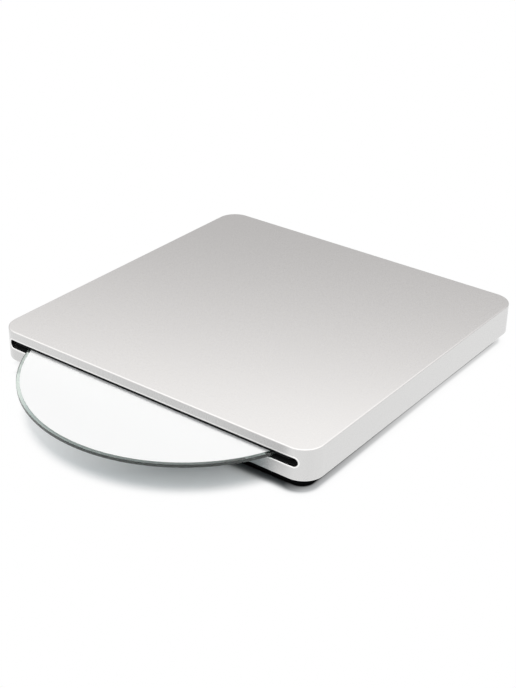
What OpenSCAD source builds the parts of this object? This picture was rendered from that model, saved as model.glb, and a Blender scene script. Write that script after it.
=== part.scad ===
// External slot-loading disc drive, shown with a disc half way out of the slot.
// Millimetres. Origin: middle of the case on the desk, +Z up, disc slot toward -Y.

/* [Case] */

// width of the case, left to right
case_w = 139; // [138:1:146]
// depth of the case, front to back
case_d = 139; // [139:1:146]
// height of the case above the desk
case_h = 17; // [16.8:0.1:18]
// radius of the four upright corners
corner_r = 8; // [7:0.5:9]
// rounding of the top edge
edge_r = 0.6; // [0.3:0.1:0.8]
// thickness of the cover's walls and roof
wall = 1.5; // [1.3:0.1:1.6]
// height of the cover's lower edge above the desk
shell_z = 5; // [4.9:0.1:5.2]
// how far the base stands in from the cover
base_inset = 4; // [3.5:0.1:4.2]
// corner radius of the base
base_r = 5; // [4:0.5:6]
// thickness of the base floor
base_floor = 1.6; // [1.4:0.1:1.8]
// side of the square rubber pad under the base
pad_w = 112; // [100:1:114]
// thickness of the rubber pad
pad_t = 1.2; // [1:0.1:1.4]

/* [Slot] */

// width of the disc slot
slot_w = 129; // [126:0.5:130]
// height of the disc slot
slot_h = 3.2; // [2.8:0.1:3.4]
// from the top of the case down to the middle of the slot
slot_drop = 5.26; // [5.2:0.02:5.4]
// gap between the two felt lips
felt_gap = 1.6; // [1.5:0.1:1.9]

/* [Disc] */

// diameter of the disc
disc_d = 120; // [119.7:0.1:120.2]
// thickness of the disc
disc_t = 1.2; // [1.1:0.1:1.3]
// diameter of the centre hole
disc_hole = 15; // [14.9:0.1:15.2]
// how far the disc stands out of the case
disc_out = 35.9; // [35:0.1:36.5]

/* [Drive] */

// width of the drive unit
drive_w = 126; // [125:0.5:126]
// depth of the drive unit
drive_d = 124; // [124:0.1:124.6]
// height of the drive unit
drive_h = 9.5; // [9.4:0.1:9.8]
// thickness of its sheet metal
sheet_t = 0.6; // [0.5:0.1:0.6]
// from the front of the drive unit back to the spindle
spindle_back = 58.5; // [58.2:0.1:58.6]
// radius of the turntable
table_r = 13.5; // [13:0.1:13.6]
// travel of the laser pickup
sled_travel = 34; // [30:1:34]

/* [Loader] */

// length of the eject arm
eject_len = 47; // [46:0.5:48]
// length of the loading arm
load_len = 25; // [24:0.5:26]
// travel of the cam slider
slider_travel = 8; // [7:0.5:8]
// width of the cam slider
slider_w = 8; // [7.5:0.1:8.2]
// module of the rack and its pinion
rack_mod = 0.6; // [0.58:0.01:0.6]
// module of the other gears
gear_mod = 0.5; // [0.48:0.01:0.5]

/* [Fits] */

// gap between the base rim and the cover
rim_gap = 0.1; // [0.05:0.05:0.2]
// gap round a turning pin or rod
run_gap = 0.04; // [0.03:0.01:0.06]
// play of a drive pin in its slot
pin_play = 0.25; // [0.2:0.05:0.3]
// gap between the disc's edge and an arm's holder
edge_gap = 0.3; // [0.3:0.05:0.4]

/* [Hidden] */

silver = [0.82, 0.82, 0.81];
black = [0.05, 0.05, 0.05];
steel = [0.62, 0.63, 0.65];
grey = [0.30, 0.31, 0.33];
white = [0.93, 0.93, 0.92];
green = [0.10, 0.30, 0.17];

// heights, each taken from the middle plane of the disc
disc_z = case_h - slot_drop;
disc_r = disc_d / 2;
disc_low = disc_z - disc_t / 2;
roof_in = case_h - wall;
cover_in = disc_z + 1.86;
cover_top = cover_in + sheet_t;
drive_z = cover_top - drive_h;
pan_top = drive_z + sheet_t;
pad_recess = 0.9;
pad_r = 8;
pad_gap = 0.1;
base_z = pad_t - pad_recess;
floor_z = base_z + base_floor;
rim_t = 1;
rim_w = case_w - 2 * wall - 2 * rim_gap;
rim_d = case_d - 2 * wall - 2 * rim_gap;
base_w = case_w - 2 * base_inset;
base_d = case_d - 2 * base_inset;
rim_z = shell_z + rim_t;
arm_z = disc_z - 2.04;
arm_t = 0.8;
arm_top = arm_z + arm_t;
slider_z = disc_z - 3.54;
slider_t = 0.8;
gear_z = disc_z - 6.24;
worm_z = disc_z - 3.84;
frame_z = disc_z - 5.44;
frame_t = 2.7;
frame_top = frame_z + frame_t;
rod_z = frame_z + 1.35;
rod_r = 1;
screw_z = frame_z + 1.9;
table_z = disc_z - 2.54;

// plan positions
front_in = -case_d / 2 + wall;
back_in = case_d / 2 - wall;
tub_x = case_w / 2 - base_inset - 1.6;
tub_y = case_d / 2 - base_inset - 1.6;
drive_front = -case_d / 2 + 6;
drive_back = drive_front + drive_d;
pan_in_x = drive_w / 2 - sheet_t;
spindle_y = drive_front + spindle_back;
disc_y = -case_d / 2 - disc_out + disc_r;
travel = spindle_y - disc_y;
boss_x = case_w / 2 - 9.5;
boss_y = case_d / 2 - 10;
boss_r = 2.6;
screw_r = 1;
felt_depth = 1.8;
felt_lip = wall - 0.5;
felt_lip_w = slot_w - slot_h - 2;
felt_clear = 0.1;
mount_x = 56;
foam_x = 42;
foam_w = 14;
foam_len = 60;
foam_fore = 25;
main_left = -52;
main_right = 14;
main_front = 3.5;
main_fore = 51;
main_aft = 7;
main_tail = 8;
main_lift = 0.6;
main_top = pan_top + main_lift + 1;
main_hole_r = 1.2;
controller_w = 13;
controller_t = 1.1;
driver_w = 9;
driver_d = 7;
driver_t = 1;
ffc_w = 4;
ffc_len = 20;
ffc_t = 1.6;
boss_post_r = 3;
pan_back_cut = 9;
pan_front_cut = 2.2;
skirt_fore = 50;
skirt_len = 95;
hub_boss_r = 15;
ring_r = 33;
cover_hole_r = 6;
guide_fore = 55;
guide_aft = 8;
drive_head_r = 2;
drive_head_h = 0.9;
mount_ys = [spindle_y - 45, spindle_y + 51];

// eject arm: its holder follows the back edge of the disc
groove_r = 1.4;
flange_r = 2.4;
hold_r = disc_r + groove_r + edge_gap;
eject_x = 45;
eject_y = (disc_y + spindle_y) / 2 + hold_r + 0.1;
eject_half = asin(travel / 2 / eject_len);
eject_a = 180 + eject_half;
eject_pin_r = slider_travel / 2 / sin(eject_half);
eject_pin_x = eject_x - eject_pin_r;

// loading arm: from beside the disc at rest to its front edge when seated
load_t0 = [hold_r * cos(-15), disc_y + hold_r * sin(-15)];
load_t1 = [hold_r * cos(-35), spindle_y + hold_r * sin(-35)];
load_c = load_t1 - load_t0;
load_half_c = norm(load_c) / 2;
load_n = [load_c[1], -load_c[0]] / (2 * load_half_c);
load_p = (load_t0 + load_t1) / 2 - load_n * sqrt(load_len * load_len - load_half_c * load_half_c);
load_half = asin(load_half_c / load_len);
load_a = atan2(load_t0[1] - load_p[1], load_t0[0] - load_p[0]);
load_pin_r = slider_travel / 2 / sin(load_half);
drive_pin_r = 0.9;
pin_slot = drive_pin_r + pin_play;
pivot_r = 1.5;

// cam slider and gear train
slider_x = 37;
slider_back = eject_y - slider_travel / 2 + pin_slot + 1.2;
slider_front = load_p[1] - slider_travel / 2 - pin_slot - 0.9;
slider_slots = [spindle_y - 30, spindle_y + 23];
rack_n = 12;
rack_x = slider_x + slider_w / 2;
rack_gx = rack_x + 1.25 * rack_mod + rack_n * rack_mod / 2;
rack_gy = spindle_y + 5;
big_n = 32;
small_n = 12;
wheel_n = 24;
train_d = (big_n + small_n) * gear_mod / 2;
worm_gx = rack_gx + 3.95;
worm_gy = rack_gy + sqrt(train_d * train_d - 3.95 * 3.95);
train_a = atan2(worm_gy - rack_gy, worm_gx - rack_gx);
worm_r = 1.6;
worm_x = worm_gx + wheel_n * gear_mod / 2 + worm_r;
worm_lead = PI * gear_mod;
motor_y = worm_gy + 6;
motor_r = 3.4;
gear_pin_r = 0.8;

// traverse: local +X runs outward from the spindle, toward the back left corner
sled_u0 = 24;
rod_v = 13;
screw_v = 18.5;
lead_r = 1.25;
lead_pin_r = 0.6;
trav_in = 22;
trav_out = 69;
trav_v0 = 20;
trav_v1 = 24;
bay_u = 13;
bay_len = 52;
rod_u = 9;
rod_len = 59;
damper_r = 3.2;
damper_neck_r = 2.2;
shoulder_r = 1.2;
shoulder_head_r = 2.4;
damper_at = [[-18.5, 0], [48, -24.5], [48, 28]];

module rrect(w, d, r) {
    square([w - 2 * r, d], center = true);
    square([w, d - 2 * r], center = true);
    for (sx = [-1, 1])
        for (sy = [-1, 1])
            translate([sx * (w / 2 - r), sy * (d / 2 - r)])
                circle(r);
}

module edge_profile(r, h, et, eb) {
    square([r - max(et, eb), h]);
    translate([0, eb])
        square([r, h - et - eb]);
    translate([r - et, h - et])
        circle(et);
    translate([r - eb, eb])
        circle(eb);
    translate([0, h / 2])
        square([r - et, h / 2]);
    square([r - eb, h / 2]);
}

// rounded slab whose top and bottom edges are rounded too
module soft_slab(w, d, h, r, et, eb) {
    translate([-w / 2 + r, -d / 2 + r, 0])
        cube([w - 2 * r, d - 2 * r, h]);
    for (a = [0, 1, 2, 3])
        translate([(a == 0 || a == 3 ? 1 : -1) * (w / 2 - r), (a < 2 ? 1 : -1) * (d / 2 - r), 0])
            rotate([0, 0, 90 * a])
                rotate_extrude(angle = 90)
                    edge_profile(r, h, et, eb);
    for (m = [0, 1]) {
        mirror([0, m, 0])
            translate([-w / 2 + r, d / 2 - r, 0])
                rotate([90, 0, 90])
                    linear_extrude(w - 2 * r)
                        edge_profile(r, h, et, eb);
        mirror([m, 0, 0])
            translate([w / 2 - r, d / 2 - r, 0])
                rotate([90, 0, 0])
                    linear_extrude(d - 2 * r)
                        edge_profile(r, h, et, eb);
    }
}

// involute gear outline with shortened tips and backlash
function inv(rb, r) = r > rb ? tan(acos(rb / r)) * 180 / PI - acos(rb / r) : 0;
function flank(n, m, r) =
    let (rp = n * m / 2, rb = rp * cos(20))
    90 / n - 4.2 / rp + inv(rb, rp) - inv(rb, r);
function gear_points(n, m) =
    let (rp = n * m / 2, rt = rp + 0.8 * m, rr = rp - 1.2 * m, rm = rp - 0.45 * m)
    [for (i = [0 : n - 1])
        let (a = 360 * i / n)
        each [
            for (q = [[rr, -1], [rm, -1], [rp, -1], [rp + 0.4 * m, -1], [rt, -1],
                      [rt, 1], [rp + 0.4 * m, 1], [rp, 1], [rm, 1], [rr, 1]])
                q[0] * [cos(a + q[1] * flank(n, m, q[0])), sin(a + q[1] * flank(n, m, q[0]))]
        ]];

module gear(n, m, t, phase) {
    rotate([0, 0, phase])
        linear_extrude(t)
            polygon(gear_points(n, m));
}

// outline of the drive unit with its corners cut off, the back ones more
function pan_outline(s) =
    let (x = drive_w / 2 - s, y0 = drive_front + s, y1 = drive_back - s)
    let (c = pan_back_cut - 0.586 * s, f = pan_front_cut - 0.586 * s)
    [
        [-x + f, y0], [x - f, y0], [x, y0 + f], [x, y1 - c],
        [x - c, y1], [-x + c, y1], [-x, y1 - c], [-x, y0 + f]
    ];

module on_traverse() {
    translate([0, spindle_y, 0])
        rotate([0, 0, 135])
            children();
}

module slot_outline(w, h) {
    square([w - h, h], center = true);
    for (s = [-1, 1])
        translate([s * (w - h) / 2, 0])
            circle(h / 2);
}

// port, bridge board and plug
port_side = 24.5;
usb_x = case_w / 2 - port_side;
usb_w = 7.7;
usb_h = 3.9;
usb_depth = 8.6;
usb_wall = 0.4;
port_gap = 0.3;
board_lift = 0.6;
board_z = rim_z + board_lift;
board_t = 1;
board_gap = 0.5;
usb_z = board_z + board_t + usb_h / 2;
sata_x = 12;
sata_w = 22;
board_left = sata_x - 4;
board_right = usb_x + 11;
chip_w = 4.4;
tongue_w = 5.2;
hook_x = 40;
hook_w = 6;
head_r = 2.2;
head_h = 0.8;
head_gap = 0.3;
case_screw_len = 8;

module top_shell() {
    color(silver) {
        difference() {
            translate([0, 0, shell_z])
                soft_slab(case_w, case_d, case_h - shell_z, corner_r, edge_r, 0.3);
            translate([0, 0, shell_z - 1])
                linear_extrude(roof_in - shell_z + 1)
                    rrect(case_w - 2 * wall, case_d - 2 * wall, corner_r - wall);
            translate([0, front_in + 2, disc_z])
                rotate([90, 0, 0])
                    linear_extrude(wall + 4)
                        slot_outline(slot_w, slot_h);
            translate([usb_x, back_in - 1, usb_z])
                rotate([-90, 0, 0])
                    linear_extrude(wall + 2)
                        rrect(usb_w + 2 * port_gap, usb_h + 2 * port_gap, 0.7);
            for (s = [-1, 1])
                translate([s * hook_x - hook_w / 2 - 0.2, front_in - 0.7, rim_z + 1])
                    cube([hook_w + 0.4, 1, 1.1]);
        }
        for (s = [-1, 1]) {
            translate([s * boss_x, boss_y, 0])
                difference() {
                    translate([0, 0, floor_z])
                        cylinder(h = roof_in - floor_z + 0.1, r = boss_r);
                    translate([0, 0, floor_z - 1])
                        cylinder(h = 9, r = screw_r + run_gap);
                }
            for (y = [-40, 30])
                translate([s * (case_w / 2 - wall - 0.4) - 0.5, y - 3, rim_z])
                    cube([1, 6, 2.4]);
        }
    }
}

module base_pan() {
    color(black) {
        difference() {
            union() {
                translate([0, 0, base_z])
                    soft_slab(base_w, base_d, rim_z - base_z, base_r, 0.1, 0.6);
                translate([0, 0, shell_z])
                    linear_extrude(rim_t)
                        rrect(rim_w, rim_d, corner_r - wall - rim_gap);
            }
            translate([0, 0, floor_z])
                linear_extrude(rim_z)
                    rrect(2 * tub_x, 2 * tub_y, base_r - 1.6);
            translate([0, 0, base_z - 1])
                linear_extrude(1 + pad_recess)
                    rrect(pad_w + 2 * pad_gap, pad_w + 2 * pad_gap, pad_r + pad_gap);
            for (s = [-1, 1])
                translate([s * boss_x, boss_y, base_z]) {
                    translate([0, 0, -1])
                        cylinder(h = 10, r = screw_r + 0.2);
                    translate([0, 0, -1])
                        cylinder(h = 2, r = head_r + head_gap);
                }
        }
        for (s = [-1, 1]) {
            for (y = mount_ys)
                translate([s * mount_x, y, 0])
                    difference() {
                        translate([0, 0, floor_z - 0.1])
                            cylinder(h = drive_z - floor_z + 0.1, r = boss_post_r);
                        translate([0, 0, floor_z + 0.2])
                            cylinder(h = 9, r = screw_r + run_gap);
                    }
            translate([s * hook_x - hook_w / 2, front_in + rim_gap, rim_z - 0.1])
                cube([hook_w, 1, 1.9]);
            translate([s * hook_x - hook_w / 2, front_in - 0.5, rim_z + 1.2])
                cube([hook_w, 0.8, 0.6]);
        }
        for (x = [board_left + 16, board_right - 4])
            translate([x, drive_back + 1.9, floor_z - 0.1])
                cylinder(h = board_z - floor_z + 0.1, r = 1.3);
    }
}

module rubber_pad() {
    color(black * 1.6)
        difference() {
            soft_slab(pad_w, pad_w, pad_t, pad_r, 0.1, 0.3);
            for (s = [-1, 1])
                translate([s * boss_x, boss_y, -1])
                    cylinder(h = pad_t + 2, r = head_r + head_gap);
        }
}

module screw_solid(head_r, head_h, length) {
    cylinder(h = length, r = screw_r);
    translate([0, 0, -head_h])
        cylinder(h = head_h, r = head_r);
}

module case_screws() {
    color(steel)
        for (s = [-1, 1])
            translate([s * boss_x, boss_y, base_z + 1])
                screw_solid(head_r, head_h, case_screw_len);
}

module felt(z0, z1, lip_low, lip_high) {
    translate([0, 0, z0])
        linear_extrude(z1 - z0)
            intersection() {
                rrect(case_w - 2 * wall, case_d - 2 * wall, corner_r - wall);
                translate([0, front_in + felt_depth / 2])
                    square([slot_w + 3, felt_depth], center = true);
            }
    translate([-felt_lip_w / 2, front_in - felt_lip, lip_low])
        cube([felt_lip_w, felt_lip + 0.1, lip_high - lip_low]);
}

module slot_felt_upper() {
    low = disc_z + felt_gap / 2;
    color(black)
        felt(low, roof_in - 0.2, low, disc_z + slot_h / 2 - felt_clear);
}

module slot_felt_lower() {
    high = disc_z - felt_gap / 2;
    color(black)
        felt(rim_z + 2.4, high, disc_z - slot_h / 2 + felt_clear, high);
}

module foam_pads() {
    color(grey)
        for (s = [-1, 1])
            translate([s * foam_x - foam_w / 2, spindle_y - foam_fore, cover_top])
                cube([foam_w, foam_len, roof_in - cover_top]);
}

module usb_shell() {
    color(steel)
        translate([usb_x, case_d / 2 - 0.2, usb_z])
            rotate([90, 0, 0])
                difference() {
                    linear_extrude(usb_depth)
                        rrect(usb_w, usb_h, 0.5);
                    translate([0, 0, -1])
                        linear_extrude(usb_depth + 0.6)
                            rrect(usb_w - 2 * usb_wall, usb_h - 2 * usb_wall, 0.3);
                }
}

module usb_tongue() {
    color(black)
        translate([usb_x - tongue_w / 2, case_d / 2 - 0.2 - usb_depth + usb_wall, usb_z - 0.1])
            cube([tongue_w, usb_depth - 1.6, 0.9]);
}

module bridge_board() {
    color(green)
        translate([board_left, drive_back + board_gap, board_z])
            cube([board_right - board_left, back_in - 0.4 - drive_back - board_gap, board_t]);
}

module bridge_chip() {
    color(black * 1.4)
        translate([sata_x + sata_w + 1.5, drive_back + 1.2, board_z + board_t])
            cube([chip_w, chip_w, 0.9]);
}

sata_z = board_z + board_t;

module sata_plug() {
    color(black)
        translate([sata_x, drive_back + 0.9, sata_z])
            cube([sata_w, 4.6, 2.8]);
}

module sata_socket() {
    color(black * 1.5)
        translate([sata_x, drive_back - 2.3, sata_z])
            cube([sata_w, 3.2, 3]);
}

module drive_pan() {
    color(steel)
        difference() {
            translate([0, 0, drive_z])
                linear_extrude(cover_in - drive_z)
                    polygon(pan_outline(0));
            translate([0, 0, pan_top])
                linear_extrude(drive_h)
                    polygon(pan_outline(sheet_t));
            translate([-pan_in_x, drive_front - 1, disc_z - 3.94])
                cube([2 * pan_in_x, 4.4, drive_h]);
            translate([sata_x - 0.1, drive_back - 1, sata_z - 0.1])
                cube([sata_w + 0.2, 2, 3.2]);
            for (s = [-1, 1])
                for (y = mount_ys)
                    translate([s * mount_x, y, drive_z - 1])
                        cylinder(h = 3, r = screw_r + 0.2);
            on_traverse()
                for (p = damper_at)
                    translate([p[0], p[1], drive_z - 1])
                        cylinder(h = 3, r = shoulder_r + run_gap);
        }
}

module drive_cover() {
    color(steel * 1.1)
        difference() {
            union() {
                translate([0, 0, cover_in])
                    linear_extrude(sheet_t)
                        polygon(pan_outline(0));
                for (s = [-1, 1])
                    translate([s * (drive_w / 2 + 0.3) - 0.25, spindle_y - skirt_fore, disc_z - 0.24])
                        cube([0.5, skirt_len, cover_top - disc_z + 0.24]);
                for (s = [-1, 1])
                    translate([s * (drive_w / 2 + 0.2) - 0.35, spindle_y - skirt_fore, cover_in])
                        cube([0.7, skirt_len, sheet_t]);
                translate([0, spindle_y, disc_z + 0.96])
                    cylinder(h = cover_in - disc_z - 0.9, r = hub_boss_r);
                translate([0, spindle_y, cover_in])
                    cylinder(h = sheet_t + 0.4, r = ring_r);
            }
            translate([0, spindle_y, cover_in + sheet_t])
                cylinder(h = 3, r = ring_r - 3);
            translate([0, spindle_y, 0])
                cylinder(h = 40, r = cover_hole_r);
            translate([0, spindle_y, disc_z + 1.56])
                cylinder(h = 9, r = hub_boss_r - 2);
        }
}

module drive_screws() {
    color(steel)
        for (s = [-1, 1])
            for (y = mount_ys)
                translate([s * mount_x, y, pan_top])
                    rotate([180, 0, 0])
                        screw_solid(drive_head_r, drive_head_h, pan_top - floor_z - 0.5);
}

module main_board() {
    color(green)
        difference() {
            translate([0, 0, pan_top + main_lift])
                linear_extrude(board_t)
                    polygon([
                        [main_left, drive_front + main_front], [main_right, drive_front + main_front],
                        [main_right, spindle_y - main_fore], [main_left + main_tail, spindle_y + main_aft],
                        [main_left, spindle_y + main_aft]
                    ]);
            for (p = [[main_left + 4, spindle_y + main_aft - 5], [main_left + 4, spindle_y - main_fore + 1],
                      [main_right - 6, spindle_y - main_fore]])
                translate([p[0], p[1], pan_top])
                    cylinder(h = 3, r = main_hole_r);
        }
    color(green * 0.8)
        for (p = [[main_left + 22, spindle_y - main_fore + 3], [main_left + 12, spindle_y - 12],
                  [main_right - 22, spindle_y - main_fore + 3]])
            translate([p[0], p[1], pan_top])
                cylinder(h = main_lift + 0.1, r = 2);
}

module controller_chip() {
    color(black * 1.4)
        translate([main_left + 12, spindle_y - main_fore + 9, main_top])
            cube([controller_w, controller_w, controller_t]);
}

module driver_chip() {
    color(black * 1.4)
        translate([main_left + 32, spindle_y - main_fore + 2, main_top])
            cube([driver_w, driver_d, driver_t]);
}

module ffc_socket() {
    color(white)
        translate([main_left + 2, spindle_y - 2 - ffc_len, main_top])
            cube([ffc_w, ffc_len, ffc_t]);
}

// rail that takes the edge of the disc between two lips
module side_guide(y0, y1) {
    inner = disc_r + 0.4;
    translate([inner, y0, pan_top])
        cube([pan_in_x - inner, y1 - y0, cover_in - 0.1 - pan_top]);
    translate([inner - 2.9, y0, disc_low - 1.9])
        cube([3, y1 - y0, 1.65]);
    translate([inner - 2.9, y0, disc_z + disc_t / 2 + 0.26])
        cube([3, y1 - y0, cover_in - 0.1 - disc_z - disc_t / 2 - 0.26]);
}

module side_guide_left() {
    color(grey)
        mirror([1, 0, 0])
            side_guide(spindle_y - guide_fore, spindle_y + guide_aft);
}

module side_guide_right() {
    color(grey)
        side_guide(spindle_y - 30, spindle_y + 5.5);
}

module slider_posts() {
    color(steel)
        for (y = slider_slots)
            translate([slider_x, y, 0]) {
                translate([0, 0, pan_top])
                    cylinder(h = slider_z - pan_top, r = 2.5);
                translate([0, 0, slider_z - 0.1])
                    cylinder(h = slider_t + 0.2, r = pivot_r);
                translate([0, 0, slider_z + slider_t + 0.05])
                    cylinder(h = 0.45, r = 2.4);
            }
}

module eject_pivot() {
    color(steel)
        translate([eject_x, eject_y, 0]) {
            translate([0, 0, pan_top])
                cylinder(h = arm_z - pan_top, r = 3);
            translate([0, 0, arm_z - 0.1])
                cylinder(h = arm_t + 0.2, r = pivot_r);
            translate([0, 0, arm_top + 0.05])
                cylinder(h = 0.4, r = 2.6);
        }
}

module loading_pivot() {
    color(steel)
        translate([load_p[0], load_p[1], 0]) {
            translate([0, 0, pan_top])
                cylinder(h = slider_z - pan_top, r = 2.7);
            translate([0, 0, slider_z - 0.1])
                cylinder(h = slider_t + 0.2, r = pivot_r);
            translate([0, 0, slider_z + slider_t + 0.05])
                cylinder(h = arm_z - slider_z - slider_t - 0.05, r = 2.6);
            translate([0, 0, arm_z - 0.1])
                cylinder(h = arm_t + 0.2, r = pivot_r);
            translate([0, 0, arm_top + 0.05])
                cylinder(h = 0.4, r = 2.6);
        }
}

module gear_pin(x, y, top) {
    translate([x, y, pan_top])
        cylinder(h = gear_z - pan_top, r = 1.6);
    translate([x, y, pan_top])
        cylinder(h = top - pan_top, r = gear_pin_r);
}

module gear_pins() {
    color(steel) {
        gear_pin(rack_gx, rack_gy, slider_z + 1.1);
        gear_pin(worm_gx, worm_gy, worm_z + 1.1);
    }
}

module load_motor() {
    color(steel)
        difference() {
            translate([worm_x, motor_y, worm_z])
                rotate([-90, 0, 0])
                    intersection() {
                        cylinder(h = 14, r = motor_r);
                        translate([-motor_r, -2.5, 0])
                            cube([2 * motor_r, 5, 14]);
                    }
            translate([worm_x, motor_y - 1, worm_z])
                rotate([-90, 0, 0])
                    cylinder(h = 4, r = 0.5 + run_gap);
        }
}

module motor_bracket() {
    color(steel * 0.9)
        difference() {
            union() {
                translate([worm_x - motor_r, motor_y - 0.8, pan_top])
                    cube([2 * motor_r, 0.8, worm_z + 2.4 - pan_top]);
                translate([worm_x - 1.5, worm_gy - 6.6, pan_top])
                    cube([3, 1, worm_z + 1.4 - pan_top]);
            }
            translate([worm_x, worm_gy - 8, worm_z])
                rotate([-90, 0, 0])
                    cylinder(h = 20, r = 0.5 + run_gap);
        }
}

module traverse_frame() {
    color(grey)
        on_traverse()
            translate([0, 0, frame_z])
                difference() {
                    union() {
                        linear_extrude(frame_t)
                            polygon([
                                [-trav_in, -10], [-trav_in + 7, -trav_v0],
                                [trav_out - 9, -trav_v0], [trav_out, -14],
                                [trav_out, 16], [trav_out - 7, trav_v1],
                                [-trav_in + 7, trav_v1], [-trav_in, 10]
                            ]);
                        for (i = [1, 2])
                            translate([damper_at[i][0], damper_at[i][1], 0])
                                cylinder(h = frame_t, r = 4.6);
                    }
                    translate([0, 0, -1])
                        cylinder(h = 9, r = table_r + 0.8);
                    translate([bay_u, -trav_v0 + 4, -1])
                        cube([bay_len, trav_v0 + trav_v1 - 7, 9]);
                    translate([-bay_u, screw_v - 2.8, -1])
                        cube([2 * bay_u + 1, 5.3, 9]);
                    for (p = damper_at)
                        translate([p[0], p[1], -1])
                            cylinder(h = 9, r = damper_neck_r + run_gap);
                    for (v = [-rod_v, rod_v])
                        translate([rod_u, v, rod_z - frame_z])
                            rotate([0, 90, 0])
                                cylinder(h = rod_len, r = rod_r + 0.02);
                    translate([bay_u + bay_len - 1, screw_v, screw_z - frame_z])
                        rotate([0, 90, 0])
                            cylinder(h = 3, r = lead_pin_r + run_gap);
                }
}

module dampers() {
    color(black)
        on_traverse()
            for (p = damper_at)
                translate([p[0], p[1], 0])
                    difference() {
                        union() {
                            translate([0, 0, pan_top])
                                cylinder(h = frame_z - pan_top, r = damper_r);
                            translate([0, 0, frame_z - 0.1])
                                cylinder(h = frame_t + 0.2, r = damper_neck_r);
                            translate([0, 0, frame_top])
                                cylinder(h = 0.6, r = damper_r);
                        }
                        translate([0, 0, pan_top - 1])
                            cylinder(h = 9, r = shoulder_r + run_gap);
                    }
}

module traverse_screws() {
    color(steel)
        on_traverse()
            for (p = damper_at)
                translate([p[0], p[1], 0]) {
                    translate([0, 0, drive_z + 0.1])
                        cylinder(h = frame_top + 0.6 - drive_z, r = shoulder_r);
                    translate([0, 0, frame_top + 0.6])
                        cylinder(h = 0.7, r = shoulder_head_r);
                }
}

module spindle_base() {
    color(steel * 0.95)
        on_traverse()
            difference() {
                union() {
                    translate([1.5, 0, frame_z - 0.6])
                        linear_extrude(0.6)
                            rrect(31, 30, 3);
                    translate([0, 0, frame_z - 0.1])
                        cylinder(h = 2.4, r = 2.6);
                }
                translate([0, 0, frame_z - 0.3])
                    cylinder(h = 9, r = 1 + run_gap);
            }
}

module stator() {
    color([0.72, 0.42, 0.18])
        on_traverse()
            translate([0, 0, frame_z + 0.5])
                difference() {
                    union() {
                        cylinder(h = 1.6, r = 5);
                        for (i = [0 : 8])
                            rotate([0, 0, 40 * i]) {
                                translate([4, -1, 0.2])
                                    cube([table_r - 7, 2, 1.2]);
                                translate([table_r - 3.4, -2.6, 0])
                                    cube([1.2, 5.2, 1.6]);
                            }
                    }
                    translate([0, 0, -1])
                        cylinder(h = 9, r = 2.61);
                }
}

module rod(v) {
    color(steel * 1.2)
        on_traverse()
            translate([rod_u + 0.1, v, rod_z])
                rotate([0, 90, 0])
                    cylinder(h = rod_len - 0.2, r = rod_r);
}

module guide_rod_main() {
    rod(rod_v);
}

module guide_rod_sub() {
    rod(-rod_v);
}

module sled_motor() {
    color(steel)
        on_traverse()
            difference() {
                union() {
                    translate([-12, screw_v, screw_z])
                        rotate([0, 90, 0])
                            cylinder(h = 19.5, r = 2.4);
                    translate([-9, screw_v + 1, frame_top])
                        cube([12, 4.4, 0.5]);
                }
                translate([4, screw_v, screw_z])
                    rotate([0, 90, 0])
                        cylinder(h = 9, r = 0.6 + run_gap);
            }
}

module lead_screw() {
    color(steel * 1.1)
        on_traverse()
            translate([0, screw_v, screw_z])
                rotate([0, 90, 0]) {
                    translate([0, 0, 4.5])
                        cylinder(h = 62, r = 0.6);
                    translate([0, 0, 8])
                        cylinder(h = 56.5, r = lead_r);
                }
}

module pickup_carriage() {
    color(grey * 1.2)
        on_traverse()
            translate([sled_u0, 0, frame_z])
                difference() {
                    translate([-8, -15.2, 0.1])
                        cube([15, 30.4, 2.7]);
                    translate([-9, rod_v, rod_z - frame_z])
                        rotate([0, 90, 0])
                            cylinder(h = 17, r = rod_r + run_gap);
                    translate([-9, -16, rod_z - frame_z - rod_r - run_gap])
                        cube([17, 16 - rod_v + rod_r + 0.3, 2 * rod_r + 2 * run_gap]);
                    translate([-4.5, -5.5, 1.1])
                        cube([9, 11, 9]);
                }
}

module sled_nut() {
    color(white)
        on_traverse()
            translate([sled_u0 - 3, 15.2, screw_z - 0.8])
                cube([6, screw_v - lead_r - run_gap - 15.2, 1.6]);
}

module lens_holder() {
    color(black)
        on_traverse()
            translate([sled_u0, 0, frame_z + 1.5])
                difference() {
                    translate([-4.1, -5.1, 0])
                        cube([8.2, 10.2, 1.7]);
                    translate([0, 0, 0.4])
                        cylinder(h = 3, r = 2.3);
                }
}

module objective_lens() {
    color([0.45, 0.55, 0.75])
        on_traverse()
            translate([sled_u0, 0, frame_z + 1.9])
                rotate_extrude()
                    intersection() {
                        square([2.27, 1.9]);
                        translate([0, -1.2])
                            circle(3.1);
                    }
}

module disc() {
    color(white)
        translate([0, disc_y, disc_low])
            difference() {
                union() {
                    translate([0, 0, 0.1])
                        cylinder(h = disc_t - 0.2, r = disc_r);
                    cylinder(h = disc_t, r = disc_r - 0.1);
                }
                translate([0, 0, -1])
                    cylinder(h = 9, d = disc_hole);
            }
}

module holder() {
    translate([0, 0, arm_z])
        cylinder(h = arm_t + 0.1, r = 1);
    translate([0, 0, arm_top])
        cylinder(h = disc_low - 0.14 - arm_top, r = flange_r);
    translate([0, 0, arm_top])
        cylinder(h = disc_z + disc_t / 2 + 0.3 - arm_top, r = groove_r);
    translate([0, 0, disc_z + disc_t / 2 + 0.14])
        cylinder(h = 0.5, r = flange_r);
}

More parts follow.
